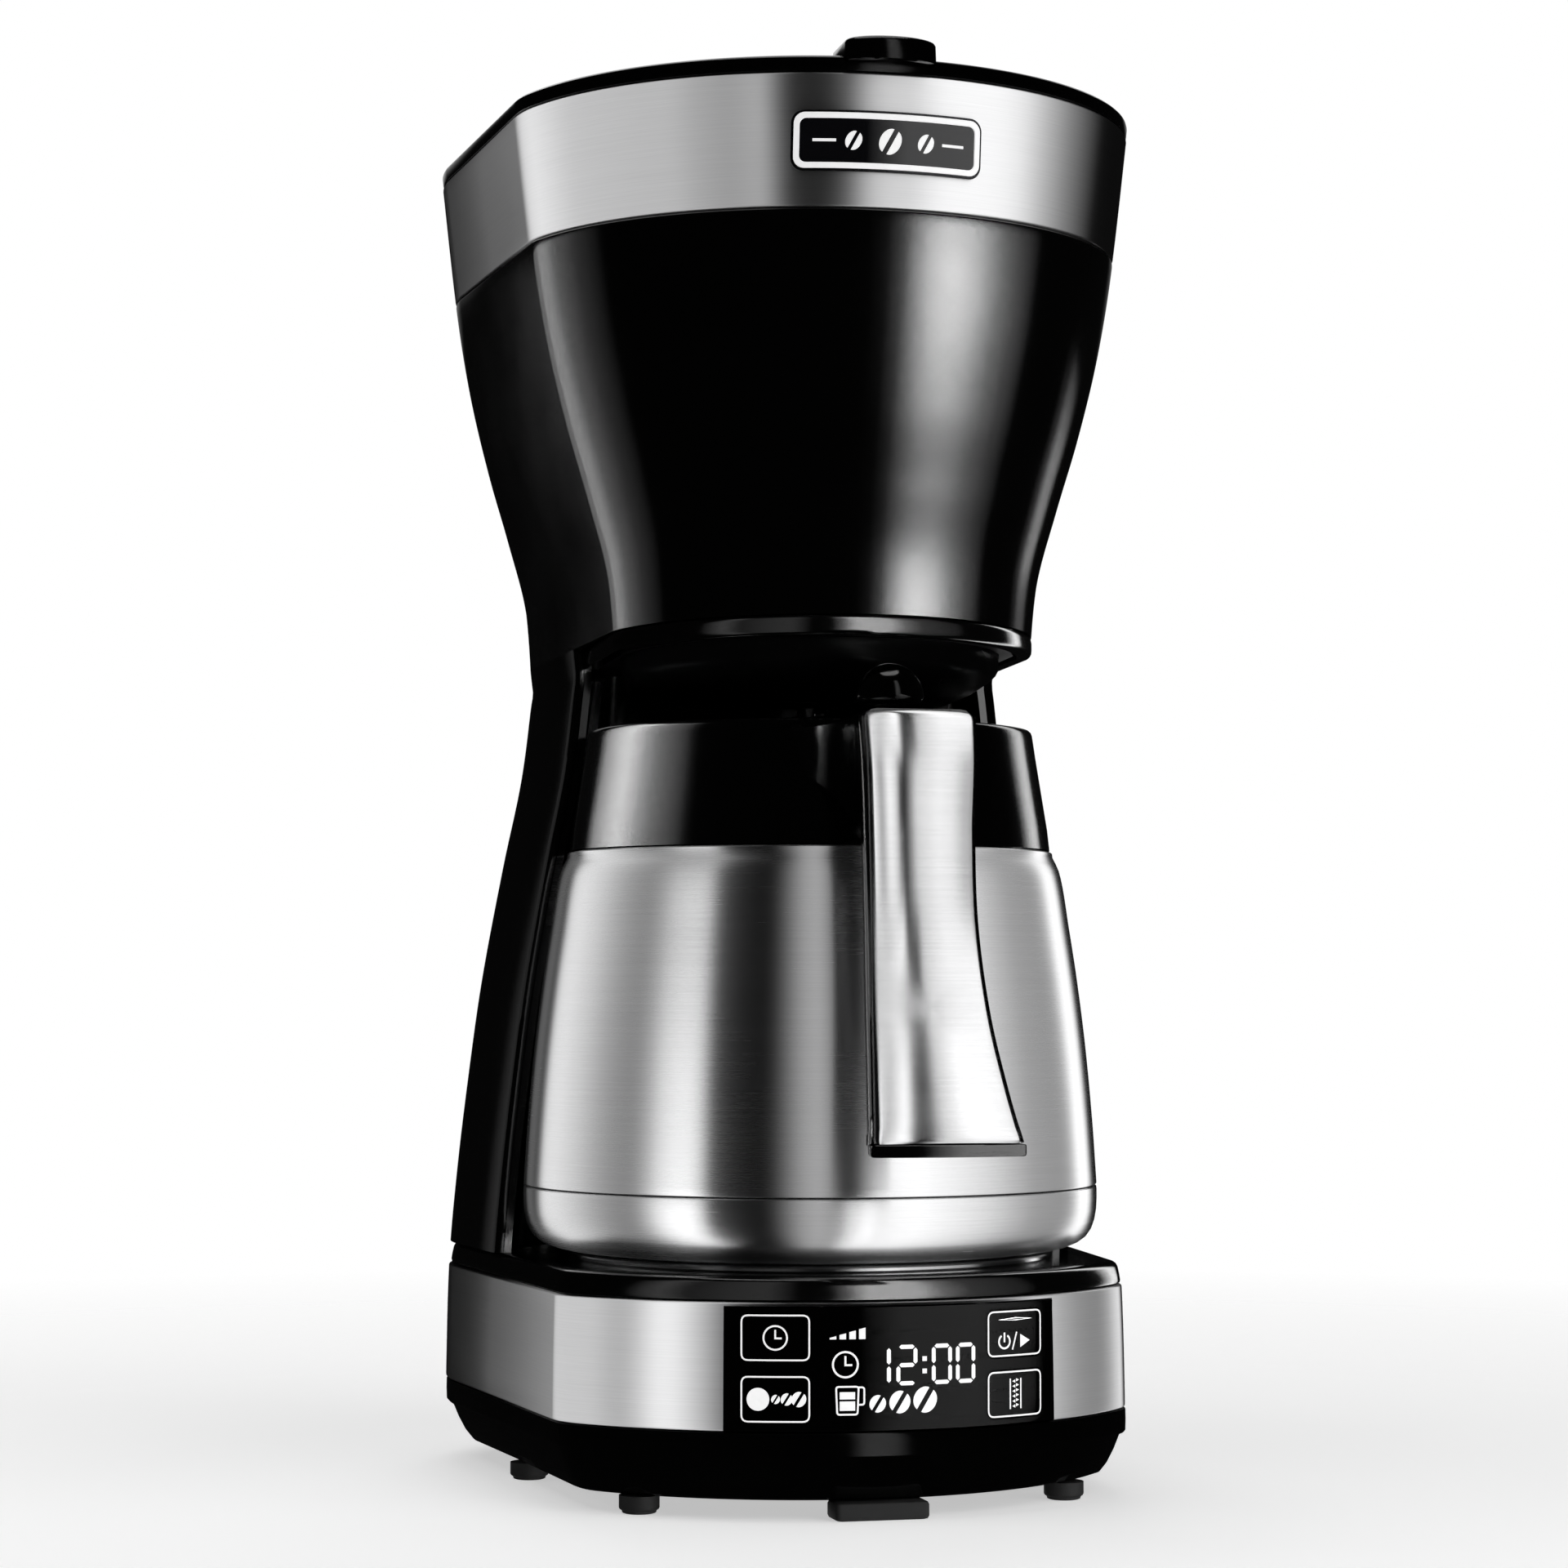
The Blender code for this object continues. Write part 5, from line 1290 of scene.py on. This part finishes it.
def light_card(name, stops, heights, receivers):
    """A curved softbox that lights only the receivers.

    Its strength is set at azimuths by stops, and scaled over elevations by heights.
    """
    columns, rows = 96, 12
    points, faces, values = [], [], []
    for azimuth in spread(stops[0][0], stops[-1][0], columns):
        for elevation in spread(heights[0][0], heights[-1][0], rows):
            a, e = math.radians(azimuth), math.radians(elevation)
            reach = LIGHT_RADIUS * math.cos(e)
            points.append((reach * math.sin(a), -reach * math.cos(a),
                           LIGHT_MIDDLE_Z + LIGHT_RADIUS * math.sin(e)))
            values.append(ramp(stops, azimuth) * ramp(heights, elevation))
    for i in range(columns):
        for j in range(rows):
            corner = i * (rows + 1) + j
            faces.append((corner, corner + 1, corner + rows + 2, corner + rows + 1))
    mesh = bpy.data.meshes.new(name)
    mesh.from_pydata(points, [], faces)
    mesh.attributes.new("strength", "FLOAT", "POINT").data.foreach_set("value", values)
    mesh.materials.append(softbox_material(name))
    card = bpy.data.objects.new(name, mesh)
    bpy.context.scene.collection.objects.link(card)
    card.visible_camera = False
    card.visible_shadow = False
    group = bpy.data.collections.new(name + "_receivers")
    for receiver in receivers:
        group.objects.link(bpy.data.objects[receiver])
    card.light_linking.receiver_collection = group


def softbox_material(name):
    """Light that is added to what lies behind it, so that one softbox doesn't hide another."""
    made = bpy.data.materials.new(name)
    made.use_nodes = True
    tree = made.node_tree
    tree.nodes.clear()
    emission = add(tree, "ShaderNodeEmission")
    attribute = add(tree, "ShaderNodeAttribute", attribute_name="strength")
    tree.links.new(attribute.outputs["Fac"], emission.inputs["Strength"])
    see_through = add(tree, "ShaderNodeBsdfTransparent")
    both = add(tree, "ShaderNodeAddShader")
    tree.links.new(emission.outputs["Emission"], both.inputs[0])
    tree.links.new(see_through.outputs["BSDF"], both.inputs[1])
    output = add(tree, "ShaderNodeOutputMaterial")
    tree.links.new(both.outputs["Shader"], output.inputs["Surface"])
    return made


def ramp(stops, at):
    """The value at a point between (position, value) stops."""
    for (x0, y0), (x1, y1) in zip(stops, stops[1:]):
        if at <= x1:
            return y0 + (y1 - y0) * max(at - x0, 0) / (x1 - x0)
    return stops[-1][1]


def make_lights():
    """Softboxes for groups of pieces. No more than seven overlap, as a reflection passes only eight."""
    own = UPPER_BAND + BASE_BAND + CARAFE + HANDLE + HEAD + COLUMN + COLLAR + EDGES + DIM
    others = [made.name for made in bpy.context.scene.objects if made.type == "MESH" and made.name not in own]
    make_steel_lights()
    make_gloss_lights()
    make_common_lights(others)


def make_common_lights(others):
    """Light for the pieces with no softboxes of their own. Some groups share the ones above and behind."""
    light_card("card_right", ((6, 0), (20, 1.6), (45, 1.8), (66, 0.9), (72, 0)), ((-60, 0.8), (62, 1)),
               others)
    light_card("card_left", ((-150, 0.6), (-120, 2.4), (-96, 1.1), (-76, 0)), ((6, 0.1), (11, 1), (22, 1)),
               others)
    light_card("card_front", ((-108, 2), (-62, 2), (-44, 1.2), (-22, 0)), ((44, 1), (66, 1)), others)
    light_card("card_top", ((-180, 1), (180, 1)), ((70, 1), (90, 1)),
               others + list(HEAD + COLUMN + EDGES + DIM))
    light_card("card_back_low", ((140, 0), (165, 1), (190, 1), (200, 0)), ((-45, 1), (-18, 1), (-12, 0)),
               others)
    behind = others + list(HEAD + COLUMN + COLLAR + DIM + CARAFE + HANDLE)
    light_card("card_back_high", ((140, 0), (160, 1.2), (190, 1.2), (200, 0)), ((12, 0), (30, 1), (65, 1)),
               behind)


def make_gloss_lights():
    """Softboxes of the black pieces, with strengths listed to place the highlights on each."""
    light_card("head_right", (
        (8, 0), (15, 0.03), (21, 0.4), (27, 2.3), (33, 4.5), (39, 5.4), (44, 5.1), (50, 3.9), (56, 2.3),
        (62, 1.15), (70, 0.45), (80, 0),
    ), (
        (-30, 0.02), (-22, 0.06), (-18, 0.15), (-14, 0.42), (-10, 0.78), (-4, 1.1), (2, 1.35), (8, 0.9),
        (12, 0.3),
    ), HEAD)
    light_card("head_rim", (
        (108, 0), (113, 0.12), (118, 0.7), (124, 0.6), (130, 0),
    ), ((-20, 0.4), (0, 1.3), (6, 0)), HEAD)
    light_card("head_left", (
        (-156, 0), (-152, 0.45), (-146, 0.55), (-138, 0.75), (-133, 1.4), (-127, 1.45), (-120, 0.65),
        (-108, 0.22), (-94, 0),
    ), ((-30, 0.8), (-5, 1), (12, 1)), HEAD)
    light_card("column_side", ((-154, 0), (-148, 0.1), (-84, 0.14), (-78, 0)), ((-30, 1), (40, 1)), COLUMN)
    light_card("collar_left", (
        (-148, 0), (-144, 0.5), (-140, 1.4), (-132, 2.7), (-124, 4.3), (-118, 5.1), (-112, 4.2), (-106, 2.8),
        (-98, 1.55), (-90, 0.9), (-82, 0.45), (-76, 0.05), (-72, 0),
    ), ((0, 0.8), (20, 1), (40, 1)), COLLAR)
    light_card("collar_right", (
        (107, 0), (111, 0.7), (116, 2), (121, 2.4), (126, 1.6), (129, 0),
    ), ((-10, 1), (45, 1)), COLLAR)
    light_card("edge_left", (
        (-72, 0), (-60, 0.4), (-50, 0.1), (-36, 0.2), (-24, 0.25), (-14, 0),
    ), EDGE_HEIGHTS, EDGES)
    light_card("edge_right", (
        (-3, 0), (2, 0.7), (9, 3.6), (26, 3.3), (34, 1.1), (44, 0.3), (66, 0.1), (70, 0),
    ), EDGE_HEIGHTS, EDGES)
    light_card("edge_rim", ((106, 0), (111, 2), (116, 4), (120, 3), (125, 0)), EDGE_HEIGHTS, EDGES)
    light_card("dim_light", ((3, 0), (8, 0.3), (16, 0.3), (22, 0)), ((-40, 1), (50, 1)), DIM)


def make_steel_lights():
    """Softboxes of the steel pieces, with strengths listed to place the bands on each."""
    light_card("upper_band_light", (
        (-172, 0), (-158, 0.03), (-154, 0.25), (-150, 0.85), (-146, 1.05), (-138, 1.15), (-126, 1.2),
        (-117, 1.02), (-106, 0.82), (-72, 0.74), (-63, 0.74), (-54, 0.58), (-42, 0.48), (-36, 0.55),
        (-30, 0.66), (-25, 0.2), (-22, 0.01), (-6, 0.01), (0, 0.08), (4, 0.35), (8, 0.75), (14, 0.98),
        (24, 0.98), (30, 1.3), (36, 1.5), (56, 1.55), (66, 1.42), (78, 0.8), (90, 0.38), (102, 0.14),
        (112, 0),
    ), ALL_HEIGHTS, UPPER_BAND)
    light_card("base_band_light_left", (
        (-160, 0), (-155, 0.03), (-151, 0.6), (-147, 0.88), (-84, 0.88), (-76, 0.64), (-71, 0.62),
        (-66, 0.95), (-60, 1.5), (-54, 1.38), (-48, 0.9), (-42, 0.48), (-34, 0),
    ), ALL_HEIGHTS, BASE_BAND)
    light_card("base_band_light_right", (
        (58, 0), (70, 1.05), (80, 0.68), (90, 0.42), (103, 0.26), (109, 0.42), (115, 1.08), (121, 1.12),
        (127, 0.85), (132, 0.35), (137, 0),
    ), ALL_HEIGHTS, BASE_BAND)
    light_card("carafe_light_left", (
        (-174, 0), (-168, 0.12), (-160, 0.14), (-154, 0.03), (-150, 0.25), (-147, 0.95), (-143, 1.15),
        (-134, 1.12), (-120, 0.85), (-108, 0.54), (-99, 0.38), (-91, 0.32), (-84, 0.4), (-78, 0.5),
        (-66, 0.55), (-60, 0.5), (-57, 0.06), (-53, 0),
    ), ALL_HEIGHTS, CARAFE)
    light_card("carafe_light_right", (
        (-32, 0), (-28, 0.03), (-24, 0.16), (-17, 0.48), (-10, 0.62), (-5, 0.35), (-2, 0.01), (4, 0.02),
        (8, 0.6), (13, 1.4), (28, 1.62), (42, 1.4), (60, 1.08), (72, 0.78), (84, 0.52), (102, 0.4),
        (109, 0.42), (114, 0.7), (119, 1.45), (127, 1.65), (132, 1.2), (136, 0.2), (140, 0),
    ), ALL_HEIGHTS, CARAFE)
    light_card("carafe_low_light", (
        (-86, 0), (-80, 0.4), (-75, 1.2), (-69, 1.6), (-63, 1.7), (-57, 1.4), (-53, 0),
    ), ((-75, 0.7), (-20, 0.8), (-5, 1), (12, 0)), CARAFE)
    light_card("carafe_foot_light", ((-7, 0), (-2, 0.4), (1, 1.2), (8, 1.3), (13, 0)), ALL_HEIGHTS,
               CARAFE_FOOT)
    light_card("handle_low_light", (
        (-28, 0), (-26, 1.8), (-22, 1.1), (-18, 0.4), (-11, 1.5), (-5, 0.9), (-3, 0), (2, 0), (6, 0.45),
        (10, 1.05), (24, 1.35), (36, 1.2), (48, 0.68), (60, 0.5), (72, 0.5), (86, 0.9), (140, 0.9), (146, 0),
    ), ((-75, 1), (11, 1), (17, 0)), HANDLE)
    light_card("handle_middle_light", (
        (-30, 0), (-28, 1.9), (-24, 1.3), (-17, 0.7), (-8, 1.45), (-2, 1.8), (1, 0), (10, 0), (13, 0.8),
        (18, 1.1), (30, 1.42), (60, 1.5), (80, 1.2), (140, 1), (146, 0),
    ), ((11, 0), (17, 1), (36, 1), (44, 0)), HANDLE)
    light_card("handle_high_light", (
        (-33, 0), (-30, 1.4), (-26, 1.6), (-17, 0.5), (-9, 1.2), (-2, 2.5), (2, 0), (16, 0), (20, 0.6),
        (25, 1.1), (34, 1.7), (56, 1.7), (70, 1.3), (140, 1), (146, 0),
    ), ((36, 0), (44, 1), (85, 1)), HANDLE)


def make_world():
    """White as the camera sees it, and almost dark for everything else."""
    world = bpy.data.worlds.new("studio")
    bpy.context.scene.world = world
    world.use_nodes = True
    tree = world.node_tree
    background = tree.nodes["Background"]
    background.inputs["Color"].default_value = (1, 1, 1, 1)
    path = add(tree, "ShaderNodeLightPath")
    strength = add(tree, "ShaderNodeMapRange")
    strength.inputs["To Min"].default_value = 0.004
    strength.inputs["To Max"].default_value = 1.0
    tree.links.new(path.outputs["Is Camera Ray"], strength.inputs["Value"])
    tree.links.new(strength.outputs["Result"], background.inputs["Strength"])


def make_camera():
    data = bpy.data.cameras.new("camera")
    data.lens = CAMERA_LENS
    data.sensor_width = 36
    data.clip_start = 0.01
    camera = bpy.data.objects.new("camera", data)
    camera.location = CAMERA_PLACE
    camera.rotation_euler = (math.radians(CAMERA_TILT), 0, math.radians(CAMERA_TURN))
    bpy.context.scene.collection.objects.link(camera)
    bpy.context.scene.camera = camera


make_base()
make_rest_plate()
make_feet()
make_panel()
make_keys()
make_column()
make_bay_wall()
make_head()
make_flange_ring()
make_funnel()
make_badge()
make_lid()
make_rear_cover()
make_inside()
make_carafe()
make_collar()
make_handle()
make_carafe_lid()
make_lever()
finish_carried()
make_floor()
make_lights()
make_world()
make_camera()
bpy.context.scene.view_settings.view_transform = "Standard"
